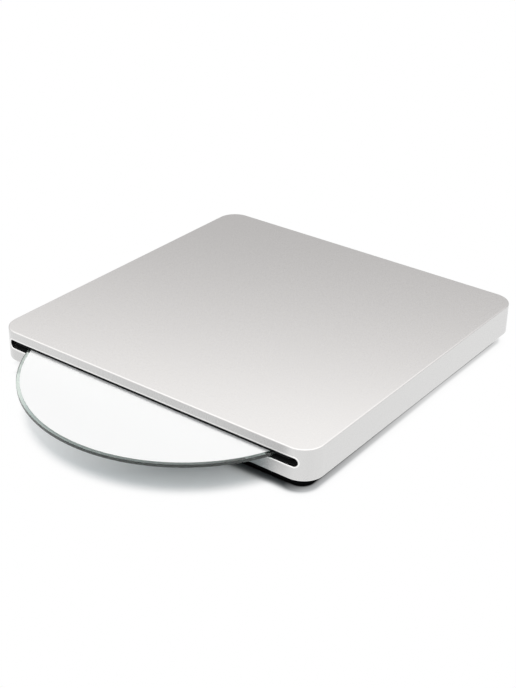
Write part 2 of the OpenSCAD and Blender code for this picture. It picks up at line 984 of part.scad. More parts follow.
module arm_plate(len, pin_r, pin_a) {
    difference() {
        union() {
            translate([0, 0, arm_z])
                linear_extrude(arm_t) {
                    circle(4);
                    translate([0, -2.5])
                        square([len, 5]);
                    translate([len, 0])
                        circle(2.5);
                    rotate([0, 0, pin_a]) {
                        translate([0, -2])
                            square([pin_r, 4]);
                        translate([pin_r, 0])
                            circle(2);
                    }
                }
            rotate([0, 0, pin_a])
                translate([pin_r, 0, slider_z + 0.1])
                    cylinder(h = arm_z - slider_z, r = drive_pin_r);
        }
        translate([0, 0, arm_z - 1])
            cylinder(h = 3, r = pivot_r + run_gap);
        translate([len, 0, arm_z - 1])
            cylinder(h = 3, r = 1.01);
    }
}

module eject_arm() {
    color(steel * 1.1)
        translate([eject_x, eject_y, 0])
            rotate([0, 0, eject_a])
                arm_plate(eject_len, eject_pin_r, 0);
}

module eject_holder() {
    color(white)
        translate([eject_x, eject_y, 0])
            rotate([0, 0, eject_a])
                translate([eject_len, 0, 0])
                    holder();
}

module loading_arm() {
    color(steel * 1.1)
        translate([load_p[0], load_p[1], 0])
            rotate([0, 0, load_a])
                arm_plate(load_len, load_pin_r, -load_a - load_half);
}

module loading_holder() {
    color(white)
        translate([load_t0[0], load_t0[1], 0])
            holder();
}

// slot across the slider for an arm's drive pin
module cross_slot(x0, x1, y) {
    translate([x0 - pin_slot, y - pin_slot])
        square([x1 - x0 + 2 * pin_slot, 2 * pin_slot]);
}

module cam_slider() {
    load_px = [load_p[0] + load_pin_r * cos(load_half), load_p[0] + load_pin_r];
    head_x1 = load_px[1] + pin_slot + 1;
    eject_px = [eject_pin_x, eject_x - eject_pin_r * cos(eject_half)];
    color(white * 0.9)
        translate([0, 0, slider_z])
            linear_extrude(slider_t)
                difference() {
                    union() {
                        translate([slider_x - slider_w / 2, slider_front + 4])
                            square([slider_w, slider_back - slider_front - 4]);
                        translate([load_p[0] - 3.6, slider_front])
                            square([head_x1 - load_p[0] + 3.6, 15]);
                        for (i = [-8 : 3])
                            translate([rack_x, rack_gy + (i + 0.5) * PI * rack_mod])
                                polygon(rack_mod * [
                                    [-0.1, -0.98], [0.2, -0.98], [1.25, -0.6], [2.05, -0.3],
                                    [2.05, 0.3], [1.25, 0.6], [0.2, 0.98], [-0.1, 0.98]
                                ]);
                    }
                    for (y = slider_slots) {
                        translate([slider_x - pivot_r - run_gap, y - slider_travel])
                            square([2 * pivot_r + 2 * run_gap, slider_travel]);
                        for (dy = [0, slider_travel])
                            translate([slider_x, y - dy])
                                circle(pivot_r + run_gap);
                    }
                    translate([load_p[0] - pivot_r - run_gap, slider_front - 1])
                        square([2 * pivot_r + 2 * run_gap, load_p[1] - slider_front + 1]);
                    translate([load_p[0], load_p[1]])
                        circle(pivot_r + run_gap);
                    cross_slot(load_px[0], load_px[1], load_p[1] - slider_travel / 2);
                    cross_slot(eject_px[0], eject_px[1], eject_y - slider_travel / 2);
                }
}

module rack_gear() {
    color(white)
        translate([rack_gx, rack_gy, 0])
            difference() {
                union() {
                    translate([0, 0, gear_z])
                        gear(big_n, gear_mod, 1.3, train_a);
                    translate([0, 0, gear_z + 1.2])
                        cylinder(h = slider_z - gear_z - 1.3, r = 2.1);
                    translate([0, 0, slider_z - 0.2])
                        gear(rack_n, rack_mod, 1.2, 180);
                }
                translate([0, 0, gear_z - 1])
                    cylinder(h = 9, r = gear_pin_r + run_gap);
            }
}

module worm_gear() {
    color(white)
        translate([worm_gx, worm_gy, 0])
            difference() {
                union() {
                    translate([0, 0, gear_z])
                        gear(small_n, gear_mod, 1.3, train_a + 180 + 180 / small_n);
                    translate([0, 0, gear_z + 1.2])
                        cylinder(h = worm_z - gear_z - 1.2, r = 1.9);
                    translate([0, 0, worm_z - 0.7])
                        gear(wheel_n, gear_mod, 1.4, 0);
                }
                translate([0, 0, gear_z - 1])
                    cylinder(h = 9, r = gear_pin_r + run_gap);
            }
}

// worm with its shaft: radius as a function of turn and length
worm_seg = 20;
worm_half = 4;
worm_step = worm_lead / 8;
worm_rows = round(2 * worm_half / worm_step);
function worm_tooth(f) =
    let (d = abs(f - floor(f + 0.5)))
    d < 0.09 ? worm_r + 0.4 : d > 0.23 ? worm_r - 0.55 : worm_r + 0.4 - 0.95 * (d - 0.09) / 0.14;
function worm_ring(z, r) =
    [for (j = [0 : worm_seg - 1]) [r * cos(360 * j / worm_seg), r * sin(360 * j / worm_seg), z]];
worm_points = concat(
    worm_ring(-6.5, 0.5),
    worm_ring(-worm_half - 0.3, 0.5),
    worm_ring(-worm_half - 0.3, worm_r - 0.55),
    [for (i = [0 : worm_rows])
        let (z = -worm_half + i * worm_step)
        for (j = [0 : worm_seg - 1])
            let (r = worm_tooth(z / worm_lead - j / worm_seg))
            [r * cos(360 * j / worm_seg), r * sin(360 * j / worm_seg), z]],
    worm_ring(worm_half + 0.6, worm_r - 0.55),
    worm_ring(worm_half + 0.6, 0.5),
    worm_ring(8.5, 0.5)
);
worm_last = worm_rows + 6;
worm_faces = concat(
    [for (i = [0 : worm_last - 1])
        for (j = [0 : worm_seg - 1])
            let (k = (j + 1) % worm_seg)
            each [
                [i * worm_seg + j, (i + 1) * worm_seg + j, (i + 1) * worm_seg + k],
                [i * worm_seg + j, (i + 1) * worm_seg + k, i * worm_seg + k]
            ]],
    [[for (j = [0 : worm_seg - 1]) j]],
    [[for (j = [worm_seg - 1 : -1 : 0]) worm_last * worm_seg + j]]
);

module worm() {
    color([0.80, 0.68, 0.35])
        translate([worm_x, worm_gy, worm_z])
            rotate([-90, 0, 0])
                polyhedron(worm_points, worm_faces);
}

hub_r = disc_hole / 2 - 0.3;

module turntable() {
    color(grey * 0.8)
        translate([0, spindle_y, 0])
            difference() {
                union() {
                    translate([0, 0, frame_z - 0.1])
                        cylinder(h = table_z - frame_z, r = 1);
                    translate([0, 0, table_z - 2.5])
                        cylinder(h = 2.5, r = table_r);
                    translate([0, 0, table_z - 0.1])
                        cylinder(h = 1.2, r = hub_r);
                    translate([0, 0, table_z + 1.1])
                        cylinder(h = 0.5, r1 = hub_r, r2 = hub_r - 0.9);
                }
                translate([0, 0, table_z - 3])
                    difference() {
                        cylinder(h = 2.7, r = table_r - 0.6);
                        cylinder(h = 9, r = 1);
                    }
                for (i = [0 : 2])
                    rotate([0, 0, 120 * i + 90])
                        translate([4.6, -1.25, table_z + 0.2])
                            cube([4, 2.5, 3]);
            }
}

module rotor_magnet() {
    color(black * 2)
        translate([0, spindle_y, table_z - 2.3])
            difference() {
                cylinder(h = 1.9, r = table_r - 0.6);
                translate([0, 0, -1])
                    cylinder(h = 4, r = table_r - 1.6);
            }
}

module turntable_pad() {
    color(black)
        translate([0, spindle_y, table_z])
            difference() {
                cylinder(h = 0.2, r = table_r - 0.3);
                translate([0, 0, -1])
                    cylinder(h = 4, r = table_r - 3);
            }
}

module clamp_claws() {
    color(white)
        translate([0, spindle_y, table_z + 0.2])
            intersection() {
                for (i = [0 : 2])
                    rotate([0, 0, 120 * i + 90])
                        translate([4.6, -1.15, 0])
                            cube([4, 2.3, 1]);
                cylinder(h = 2, r = hub_r + 0.2);
            }
}

top_shell();
base_pan();
rubber_pad();
case_screws();
slot_felt_upper();
slot_felt_lower();
foam_pads();
usb_shell();
usb_tongue();
bridge_board();
bridge_chip();
sata_plug();
sata_socket();
drive_pan();
drive_cover();
drive_screws();
main_board();
controller_chip();
driver_chip();
ffc_socket();
side_guide_left();
side_guide_right();
slider_posts();
eject_pivot();
loading_pivot();
gear_pins();
load_motor();
motor_bracket();
traverse_frame();
dampers();
traverse_screws();
spindle_base();
stator();
guide_rod_main();
guide_rod_sub();
sled_motor();
disc();
eject_arm();
eject_holder();
loading_arm();
loading_holder();
cam_slider();
rack_gear();
worm_gear();
worm();
turntable();
rotor_magnet();
turntable_pad();
clamp_claws();
pickup_carriage();
sled_nut();
lens_holder();
objective_lens();
lead_screw();
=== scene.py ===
import math

import bpy
import numpy as np
from bpy.props import FloatProperty, FloatVectorProperty, PointerProperty
from mathutils import Matrix, Vector


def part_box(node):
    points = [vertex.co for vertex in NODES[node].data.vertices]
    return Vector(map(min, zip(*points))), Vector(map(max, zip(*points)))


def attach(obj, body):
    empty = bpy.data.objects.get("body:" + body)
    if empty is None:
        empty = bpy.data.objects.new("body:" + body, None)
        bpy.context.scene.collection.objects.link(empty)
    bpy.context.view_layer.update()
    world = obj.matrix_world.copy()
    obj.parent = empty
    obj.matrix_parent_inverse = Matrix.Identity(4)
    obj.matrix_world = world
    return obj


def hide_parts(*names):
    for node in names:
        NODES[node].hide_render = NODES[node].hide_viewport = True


bl_info = {
    "name": "Slot-loading disc drive",
    "version": (1, 0, 0),
    "blender": (4, 5, 0),
    "location": "3D View > Sidebar > Drive",
    "description": "Dresses the packed disc drive: cover, disc, felts, screws, port and works",
    "category": "Object",
}

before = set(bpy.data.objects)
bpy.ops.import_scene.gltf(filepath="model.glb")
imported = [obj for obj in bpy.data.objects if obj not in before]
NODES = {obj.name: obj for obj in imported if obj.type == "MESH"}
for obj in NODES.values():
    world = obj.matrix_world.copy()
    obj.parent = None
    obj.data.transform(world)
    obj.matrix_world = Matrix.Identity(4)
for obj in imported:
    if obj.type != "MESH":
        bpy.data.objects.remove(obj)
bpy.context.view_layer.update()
MM = 0.001
PI = math.pi
FLAT = 1e9  # heights vanish in units of so many millimetres
CORNERS = ((-1, -1), (1, -1), (1, 1), (-1, 1))


def cad_box(node):
    """Lowest and highest corner of a CAD node in millimetres, as two arrays."""
    low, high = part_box(node)
    return np.array(low) / MM, np.array(high) / MM


SHELL_LO, SHELL_HI = cad_box("top_shell")
DISC_LO, DISC_HI = cad_box("disc")
DISC_Y, DISC_Z = (DISC_LO[1:] + DISC_HI[1:]) / 2
CASE_SCREW_HEAD = 2.2
SCREW_X, SCREW_Y = cad_box("case_screws")[1][:2] - CASE_SCREW_HEAD
SPINDLE = np.array([0.0, -5.0, 0.0])
ALONG = np.array([-math.sqrt(0.5), math.sqrt(0.5), 0.0])
ACROSS = np.array([-math.sqrt(0.5), -math.sqrt(0.5), 0.0])
DAMPERS = ((-18.5, 0), (48, -24.5), (48, 28))


def traverse_point(along, across, z=0.0):
    """A place on the slanted traverse, measured from the spindle along and across its rods."""
    return SPINDLE + ALONG * along + ACROSS * across + np.array([0, 0, z])


def length(name, text, value):
    """A length property in metres from a default in millimetres."""
    metres = float(value) * MM
    return FloatProperty(name=name, description=text, default=metres, unit="LENGTH", precision=4)


def tint(name, text, value):
    """A colour property."""
    return FloatVectorProperty(
        name=name, description=text, default=value, subtype="COLOR", size=3, min=0, max=1
    )


def share(name, text, value, top=1.0):
    """A plain factor."""
    return FloatProperty(name=name, description=text, default=value, min=0, max=top)


class DriveCover(bpy.types.PropertyGroup):
    """Sizes and finish of the silver cover."""

    width: length("Width", "Side to side, over the walls", SHELL_HI[0] - SHELL_LO[0])
    depth: length("Depth", "Front to back, over the walls", SHELL_HI[1] - SHELL_LO[1])
    top: length("Top", "Height of the top face above the desk", SHELL_HI[2])
    bottom: length("Lower edge", "Height of the walls' lower edge", 5)
    corner: length("Corner radius", "Radius of the upright corners", 8)
    edge: length("Top edge", "Rounding between top and walls", 0.48)
    lower_edge: length("Bottom edge", "Rounding of the walls' lower edge", 0.3)
    wall: length("Wall", "Thickness of walls and roof", 1.5)
    slot_width: length("Slot width", "Width of the disc slot", 129)
    slot_height: length("Slot height", "Height of the disc slot", 3.2)
    slot_lip: length("Slot lip", "Rounding of the slot's outer edge", 0.3)
    colour: tint("Silver", "Colour of the blasted metal", (0.708, 0.705, 0.700))
    roughness: share("Roughness", "How matt the blasted metal is", 0.28)


class DriveDisc(bpy.types.PropertyGroup):
    """Sizes and finish of the disc."""

    radius: length("Radius", "Outer radius of the disc", (DISC_HI[0] - DISC_LO[0]) / 2)
    hole: length("Hole radius", "Radius of the centre hole", 7.5)
    print_outer: length("Print radius", "Outer radius of the white face", 58.7)
    print_inner: length("Print hole", "Inner radius of the white face", 11.5)
    print_colour: tint("Print", "Colour of the printable face", (0.95, 0.948, 0.943))
    clear_colour: tint("Clear plastic", "Colour of the clear plastic", (0.75, 0.84, 0.79))


class DriveFinish(bpy.types.PropertyGroup):
    """Colours of the other pieces."""

    base: tint("Base", "Moulded base", (0.005, 0.005, 0.0053))
    pad: tint("Pad", "Rubber pad", (0.030, 0.030, 0.031))
    felt: tint("Felt", "Slot felts", (0.006, 0.006, 0.0065))
    board: tint("Board", "Solder mask", (0.020, 0.150, 0.065))
    zinc: tint("Sheet", "Zinc-plated sheet", (0.62, 0.63, 0.64))
    acetal: tint("Acetal", "White moulded gears and slider", (0.82, 0.81, 0.76))
    frame_grey: tint("Frame", "Grey moulded frame", (0.085, 0.088, 0.095))


class DriveStage(bpy.types.PropertyGroup):
    """Light and floor."""

    ambient: share("Ambient", "Light from all round", 0.5, 4)
    key: share("Key", "Power of the soft light overhead, in watts", 7.9, 100)
    zenith: share("Zenith", "Brightness of the surround overhead, where 1 is white", 1.6, 2)
    card: share("Card", "Brightness of the grey card behind the drive, where 1 is white", 0.66)
    # painted shade: level of the card that darkens the front wall's reflection
    flag: share("Flag", "Brightness of the grey flag along the front wall, at its darkest", 0.70)
    floor: tint("Floor", "Colour of the floor", (0.87, 0.955, 1.0))


class DriveSettings(bpy.types.PropertyGroup):
    """All sizes and colours that a user would change."""

    cover: PointerProperty(type=DriveCover, name="Cover", description="The silver cover")
    disc: PointerProperty(type=DriveDisc, name="Disc", description="The disc")
    finish: PointerProperty(type=DriveFinish, name="Finish", description="Other colours")
    stage: PointerProperty(type=DriveStage, name="Stage", description="Light and floor")


def settings():
    """The scene's drive settings."""
    return bpy.context.scene.disc_drive


# Surfaces: a patch is (points, normals, faces), all arrays


def grid_faces(rows, cols, wrap=False):
    """Quads of a rows by cols grid of points; wrap joins the last column to the first."""
    index = np.arange(rows * cols).reshape(rows, cols)
    right = np.roll(index, -1, 1) if wrap else index[:, 1:]
    left = index if wrap else index[:, :-1]
    quads = np.stack([left[:-1], right[:-1], right[1:], left[1:]], -1)
    return quads.reshape(-1, 4)


def facing(points, normals, faces):
    """Turns each face so that it winds round its points' mean normal."""
    a, b, c, d = (points[faces[:, k]] for k in range(4))
    turn = np.cross(c - a, d - b)
    wrong = np.einsum("ij,ij->i", turn, normals[faces].mean(1)) < 0
    faces = faces.copy()
    faces[wrong] = faces[wrong][:, ::-1]
    return points, normals, faces


def spokes(turn):
    """Unit vectors in the plane at the given angles."""
    return np.stack([np.cos(turn), np.sin(turn)], -1)


def raised(value, exponent):
    """A power that keeps the sign, and zero for what is nearly zero."""
    value = np.where(np.abs(value) < 1e-9, 0, value)
    return np.sign(value) * np.abs(value) ** exponent


def grid_patch(points, normals, wrap=False):
    """A patch from a rows by cols array of points and of normals."""
    rows, cols = points.shape[:2]
    return facing(points.reshape(-1, 3), normals.reshape(-1, 3), grid_faces(rows, cols, wrap))


def revolve(profile, normals, centre, steps):
    """Surface of revolution: each profile point (r, z) is turned about the upright line through
    centre."""
    ring = spokes(np.linspace(0, 2 * PI, steps, endpoint=False))

    def swept(rz):
        out, up = np.reshape(np.asarray(rz, float).T, (2, -1, 1, 1))
        flat = out * ring
        return np.concatenate([flat, np.broadcast_to(up, flat.shape[:2] + (1,))], -1)

    return grid_patch(swept(profile) + np.asarray(centre, float), swept(normals), True)


def profile_patches(corners, centre, steps):
    """One patch of revolution for each straight run of a profile, each with its own normal.
    The profile runs with the solid on its left, so a run's normal points to its right."""
    corners = np.asarray(corners, float)
    out = []
    for a, b in zip(corners[:-1], corners[1:]):
        run = (b - a) / np.linalg.norm(b - a)
        normal = np.array([run[1], -run[0]])
        out.append(revolve([a, b], [normal, normal], centre, steps))
    return out


def rounded(corners, radius, segments):
    """A profile with each inner corner replaced by an arc of the given radius: the arc's centre
    lies on the bisector, and its ends at radius / tan(half the angle) from the corner."""
    corners = np.asarray(corners, float)
    out = [corners[:1]]
    for before, here, after in zip(corners[:-2], corners[1:-1], corners[2:]):
        a, b = before - here, after - here
        a, b = a / np.linalg.norm(a), b / np.linalg.norm(b)
        half = math.acos(np.clip(a @ b, -1, 1)) / 2
        reach = radius / math.tan(half)
        middle = here + (a + b) / np.linalg.norm(a + b) * radius / math.sin(half)
        start, end = here + a * reach - middle, here + b * reach - middle
        sweep = PI - 2 * half
        turn = np.linspace(0, 1, segments + 1)[:, None]
        arc = np.sin((1 - turn) * sweep) * start + np.sin(turn * sweep) * end
        out.append(middle + arc / math.sin(sweep))
    out.append(corners[-1:])
    return np.concatenate(out)


def grid_normals(points):
    """Normals of a grid of rings: the cross product of its two central differences."""
    across = np.roll(points, -1, 1) - np.roll(points, 1, 1)
    return np.cross(np.gradient(points, axis=0), across)


def ring_patch(rings, middle):
    """A patch of rings whose normals point away from the middle of each."""
    normals = grid_normals(rings)
    if (normals * (rings - middle)).sum() < 0:
        normals = -normals
    return grid_patch(rings, normals, True)


def tube_patches(rings):
    """A closed profile carried along a path: rings holds one copy of the profile for each station.
    A flat cap closes each end."""
    middle = rings.mean(1, keepdims=True)
    out = [ring_patch(rings, middle)]
    for end, inner in ((0, 1), (-1, -2)):
        points = np.stack([rings[end], np.broadcast_to(middle[end], rings[end].shape)])
        beyond = (middle[end] - middle[inner])[0]
        out.append(grid_patch(points, np.broadcast_to(beyond, points.shape), True))
    return out


def box_patches(low, high):
    """Six flat patches of a box."""
    ends = np.array([low, high], float)
    out = []
    for axis in range(3):
        u, v = (axis + 1) % 3, (axis + 2) % 3
        for end, sign in zip(ends, (-1, 1)):
            points, normal = np.zeros((2, 2, 3)), np.zeros((2, 2, 3))
            points[..., axis], normal[..., axis] = end[axis], sign
            points[..., u], points[..., v] = ends[:, u], ends[:, v, None]
            out.append(grid_patch(points, normal))
    return out


def pillow_patch(centre, half, power):
    """Superellipsoid: each coordinate is the half size times a signed power of the cosine or sine
    of latitude and longitude; its normal has the powers that make up two."""
    rows, sides = 40, 120
    lat = np.linspace(-PI / 2, PI / 2, rows + 1)[:, None]
    lon = np.linspace(0, 2 * PI, sides, endpoint=False)

    def place(e):
        level = raised(np.cos(lat), e)
        flat = level * raised(np.cos(lon), e), level * raised(np.sin(lon), e)
        return np.stack(np.broadcast_arrays(*flat, raised(np.sin(lat), e)), -1)

    half = np.asarray(half, float)
    return grid_patch(np.asarray(centre) + place(power) * half, place(2 - power) / half, True)


def leg_patches(low, high, counts):
    """Gull-wing legs of a chip: a flat strip leaves the side at half height, bends down and ends in
    a foot on the board. counts gives the legs on a side along x and along y."""
    middle, half = (low + high) / 2, (high - low) / 2
    tall, foot, thin, narrow, margin = float(half[2]), 0.07, 0.06, 0.14, 0.7
    out, up = np.array([(-0.05, tall), (0.22, tall), (0.42, foot), (0.85, foot)]).T
    lean, rise = np.array([(0, 1), (0.6, 0.8), (0.6, 0.8), (0, 1)]).T * thin
    patches = []
    for axis, count in enumerate(counts):
        other = 1 - axis
        for sign in (-1, 1):
            for at in np.linspace(-1, 1, count) * (half[axis] - margin):
                rings = np.zeros((len(out), len(CORNERS), 3))
                for corner, (wide, thick) in enumerate(CORNERS):
                    beyond = half[other] + out + lean * thick
                    rings[:, corner, axis] = middle[axis] + at + narrow * wide
                    rings[:, corner, other] = middle[other] + sign * beyond
                    rings[:, corner, 2] = low[2] + up + rise * thick
                patches += tube_patches(rings)
    return patches


PART_FACES, CAP_FACES = 18, 12


def chip_part_patches(x, y, base, size):
    """Small two-ended part on a board: two end caps, and a body between them that is a little
    thinner. The caps' faces come first."""
    place, size = np.array([x, y, base]), np.asarray(size, float)
    axis = int(size[1] > size[0])
    long, cap_share, proud = size[axis], 0.22, 0.02
    cap = cap_share * long
    low, high = place - size * (0.5, 0.5, 0), place + size * (0.5, 0.5, 1)
    patches = []
    for start, end, grow in ((0, cap, proud), (long - cap, long, proud), (cap, long - cap, 0)):
        a, b = low - grow * np.array([1, 1, 0]), high + grow
        a[axis], b[axis] = low[axis] + start, low[axis] + end
        patches += box_patches(a, b)
    return patches


def thread_patches(ends, pins, place, crest, root, pin, lead):
    """Lead screw. The radius is a function of the length u and the turn: it rises from root to
    crest by a smooth wave of u / lead less the turn, which makes a right-handed thread, and fades
    to the root at both ends. A thin pin goes on from each end to a small chamfer."""
    steps, sides, chamfer = 480, 36, (0.2, 0.15)
    u = np.linspace(*ends, steps + 1)[:, None]
    turn = np.linspace(0, 2 * PI, sides, endpoint=False)
    wave = np.clip(0.5 + 1.1 * np.cos(2 * PI * (u / lead - turn / (2 * PI))), 0, 1)
    fade = np.clip(np.minimum(u - ends[0], ends[1] - u), 0, 1)
    round_axis = spokes(turn) @ np.array([(0, 0, 1), np.cross(ALONG, (0, 0, 1))])

    def rings(lengths, radii):
        axis = place + np.reshape(lengths, (-1, 1, 1)) * ALONG
        return axis + np.reshape(radii, (len(lengths), -1, 1)) * round_axis

    out = [ring_patch(rings(u, root + (crest - root) * wave * fade), rings(u, 0 * u))]
    for shoulder, tip, sign in zip(ends, pins, (-1, 1)):
        edge, point = tip - chamfer[0] * sign, pin - chamfer[1]
        for lengths, radii, normals in (
            ([shoulder, shoulder], [root, pin], sign * ALONG),
            ([shoulder, edge, tip], [pin, pin, point], round_axis),
            ([tip, tip], [point, 0], sign * ALONG),
        ):
            run = rings(lengths, radii)
            out.append(grid_patch(run, np.broadcast_to(normals, run.shape), True))
    return out


def build(name, patches, body, material, replaced=(), second=None, picked=()):
    """Joins patches in millimetres into one mesh object. Equal points are welded, each face corner
    keeps the normal of its own patch, and a quad that shrinks to a triangle at a pole loses its
    double corner. The patches whose numbers are picked get the second material."""
    start = np.cumsum([0] + [len(p[0]) for p in patches])
    points = np.concatenate([p[0] for p in patches])
    normals = np.concatenate([p[1] for p in patches])
    faces = np.concatenate([p[2] + s for p, s in zip(patches, start)])
    finish = np.concatenate([np.full(len(p[2]), int(k in picked)) for k, p in enumerate(patches)])
    normals = normals / np.maximum(np.linalg.norm(normals, axis=1, keepdims=True), 1e-9)
    keep, where = np.unique(np.round(points, 5), axis=0, return_inverse=True)
    ids = where.reshape(-1)[faces]
    real = ids != np.roll(ids, 1, 1)
    sides = real.sum(1)
    quads, tris = sides == 4, sides == 3
    polys = ids[quads].tolist() + ids[tris][real[tris]].reshape(-1, 3).tolist()
    corners = np.concatenate([faces[quads].reshape(-1), faces[tris][real[tris]]])
    mesh = bpy.data.meshes.new(name)
    mesh.from_pydata((keep * MM).tolist(), [], polys)
    mesh.polygons.foreach_set("use_smooth", np.ones(len(polys), bool))
    mesh.materials.append(material)
    if second is not None:
        mesh.materials.append(second)
        index = np.concatenate([finish[quads], finish[tris]]).astype(np.int32)
        mesh.polygons.foreach_set("material_index", index)
    mesh.normals_split_custom_set(normals[corners].tolist())
    mesh.update()
    piece = bpy.data.objects.new(name, mesh)
    bpy.context.scene.collection.objects.link(piece)
    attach(piece, body)
    if replaced:
        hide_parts(*replaced)
    return piece


# Materials


class Nodes:
    """Helper round one node tree. A value is a constant or another node's socket."""

    def __init__(self, tree):
        self.tree = tree

    def feed(self, socket, value):
        """Links a socket to its source, or sets its constant."""
        if isinstance(value, bpy.types.NodeSocket):
            self.tree.links.new(value, socket)
        else:
            socket.default_value = value

    def node(self, kind, *values, **named):
        """A node with its inputs given in order, and its settings and other inputs by name."""
        made = self.tree.nodes.new("ShaderNode" + kind)
        for key, value in named.items():
            if key in made.inputs:
                self.feed(made.inputs[key], value)
            else:
                setattr(made, key, value)
        for socket, value in zip(made.inputs, values):
            self.feed(socket, value)
        return made

    def spread(self, value, low, high, start=0.3, end=0.7, **named):
        """Maps a value from start..end to low..high."""
        made = self.node("MapRange", value, start, end, low, high, clamp=True, **named)
        return made.outputs["Result"]

    def number(self, kind, first, *others):
        """Folds numbers with one kind of arithmetic, from the left."""
        for other in others:
            first = self.node("Math", first, other, operation=kind).outputs[0]
        return first

    def vector(self, kind, *values):
        """Vector arithmetic. A length or a dot product is a number."""
        made = self.node("VectorMath", *values, operation=kind)
        return made.outputs["Value" if kind in ("LENGTH", "DOT_PRODUCT") else "Vector"]

    def axes(self, place):
        """The coordinates of a place, by their letters."""
        return self.node("SeparateXYZ", place).outputs

    def ramp(self, value, stops, low, high, kind="LINEAR"):
        """Colour by value, from stop to stop. A stop is a place from low to high and a colour."""
        made = self.node("ValToRGB", self.spread(value, 0, 1, low, high))
        made.color_ramp.interpolation = kind
        spots = made.color_ramp.elements
        places = [(at - low) / (high - low) for at, _ in stops]
        spots[1].position = places[-1]
        for place in places[1:-1]:
            spots.new(place)
        for spot, (_, colour) in zip(spots, stops):
            spot.color = (*colour, 1)
        return made.outputs["Color"]

    def seen(self):
        """One for a ray that shows straight, in metal or through plastic, and zero for the rest."""
        path = self.node("LightPath").outputs
        kinds = ("Is Camera Ray", "Is Glossy Ray", "Is Transmission Ray")
        return self.number("MAXIMUM", *(path[kind] for kind in kinds))


class Shade(Nodes):
    """One material: its surface, and patterns that vary it."""

    def __init__(self, name, colour, rough, metallic=0.0):
        self.material = bpy.data.materials.new(name)
        self.material.use_nodes = True
        super().__init__(self.material.node_tree)
        self.surface = next(n for n in self.tree.nodes if n.type == "BSDF_PRINCIPLED")
        self.colour, self.rough = tuple(colour), rough
        self.put("Base Color", (*self.colour, 1))
        self.put("Roughness", rough)
        self.put("Metallic", metallic)
        self.material.diffuse_color = (*self.colour, 1)
        self.coords = self.node("TexCoord").outputs["Object"]

    def put(self, socket, value):
        """Sets or links one socket of the surface."""
        self.feed(self.surface.inputs[socket], value)
        return self

    def scaled(self, x, y, z, turn=0.0):
        """Object coordinates in units of these millimetres, turned about the upright axis."""
        size = tuple(1 / (side * MM) for side in (x, y, z))
        made = self.node("Mapping", self.coords, Rotation=(0, 0, turn), Scale=size)
        return made.outputs["Vector"]

    def noise(self, grain, detail=3.0, stretch=(1, 1, 1), turn=0.0):
        """Noise whose cells are about grain millimetres, longer along the stretched axes."""
        place = self.scaled(*(grain * s for s in stretch), turn)
        return self.node("TexNoise", place, Scale=1.0, Detail=detail).outputs["Fac"]

    def cells(self, grain):
        """Distance in a cell pattern of about grain millimetres."""
        place = self.scaled(grain, grain, grain)
        return self.node("TexVoronoi", place, Scale=1.0).outputs["Distance"]

    def blend(self, factor, one, two):
        """Colour between one and two by factor."""
        made = self.node("Mix", data_type="RGBA", Factor=factor)
        sides = [s for s in made.inputs if s.type == "RGBA"]
        for socket, value in zip(sides, (one, two)):
            self.feed(socket, (*value, 1) if isinstance(value, tuple) else value)
        return next(s for s in made.outputs if s.type == "RGBA")

    def tone(self, pattern, low, high):
        """Varies the colour by a pattern, from low to high times the colour."""
        sides = (shifted(self.colour, factor) for factor in (low, high))
        return self.put("Base Color", self.blend(pattern, *sides))

    def gloss(self, pattern, less, more):
        """Varies the roughness by a pattern, from less below it to more above it."""
        return self.put("Roughness", self.spread(pattern, self.rough - less, self.rough + more))

    def bump(self, height, depth, strength):
        """Bump of the given depth in millimetres."""
        made = self.node("Bump", Strength=strength, Distance=depth * MM, Height=height)
        return self.put("Normal", made.outputs["Normal"])

    def show(self, shader):
        """Makes another shader the material's surface."""
        output = next(n for n in self.tree.nodes if n.type == "OUTPUT_MATERIAL")
        self.feed(output.inputs["Surface"], shader.outputs[0])
        return self.material


def shifted(colour, factor):
    """The colour times factor, kept under 1."""
    return tuple(min(1.0, c * factor) for c in colour)


def blasted_silver():
    """Bead-blasted, anodised metal: fine even grain in height, gloss and tone."""
    cover = settings().cover
    shade = Shade("blasted_silver", cover.colour, cover.roughness, 1.0)
    grain = shade.noise(0.16, 4)
    shade.tone(shade.noise(0.5), 0.985, 1.015)
    return shade.gloss(grain, 0.03, 0.03).bump(grain, 0.004, 0.35).material


def cut_edge():
    """Bright cut edge of the cover: fine lines of the cutter on polished metal."""
    shade = Shade("cut_edge", shifted(settings().cover.colour, 1.32), 0.16, 1.0)
    lines = shade.noise(0.1, 3, (8, 8, 1))
    return shade.gloss(lines, 0.04, 0.06).bump(lines, 0.001, 0.3).material


def spark_black(name, colour):
    """Moulded black plastic with a spark-eroded grain."""
    shade = Shade(name, colour, 0.62).put("Specular IOR Level", 0.02)
    pits = shade.noise(0.22, 4)
    return shade.tone(pits, 0.85, 1.2).gloss(pits, 0.08, 0.08).bump(pits, 0.03, 0.6).material


def rubber(name, colour, grain=0.35):
    """Matt rubber with a dusty bloom and fine pores."""
    shade = Shade(name, colour, 0.82)
    bloom = shade.noise(6, 5)
    shade.tone(bloom, 0.85, 1.35).gloss(bloom, 0.06, 0.08)
    return shade.bump(shade.noise(grain), 0.02, 0.5).material


def felt(name, colour):
    """Short black pile: tangled fibres in height and tone, with sheen."""
    shade = Shade(name, colour, 1.0)
    shade.put("Sheen Weight", 0.04).put("Sheen Roughness", 0.6).put("Specular IOR Level", 0.08)
    fibres = shade.noise(0.12, 6, (1, 3, 1))
    return shade.tone(fibres, 0.5, 1.8).bump(fibres, 0.08, 0.9).material


def sheet_metal(name, colour, rough=0.34, along=(1, 12, 1), grain=0.3, turn=0.0):
    """Plated sheet: fine drawing lines along one way and a faint mottle of the plating."""
    shade = Shade(name, colour, rough, 1.0)
    lines = shade.noise(grain, 4, along, turn)
    shade.tone(shade.cells(5.0), 0.92, 1.05)
    return shade.gloss(lines, 0.08, 0.1).bump(lines, 0.006, 0.5).material


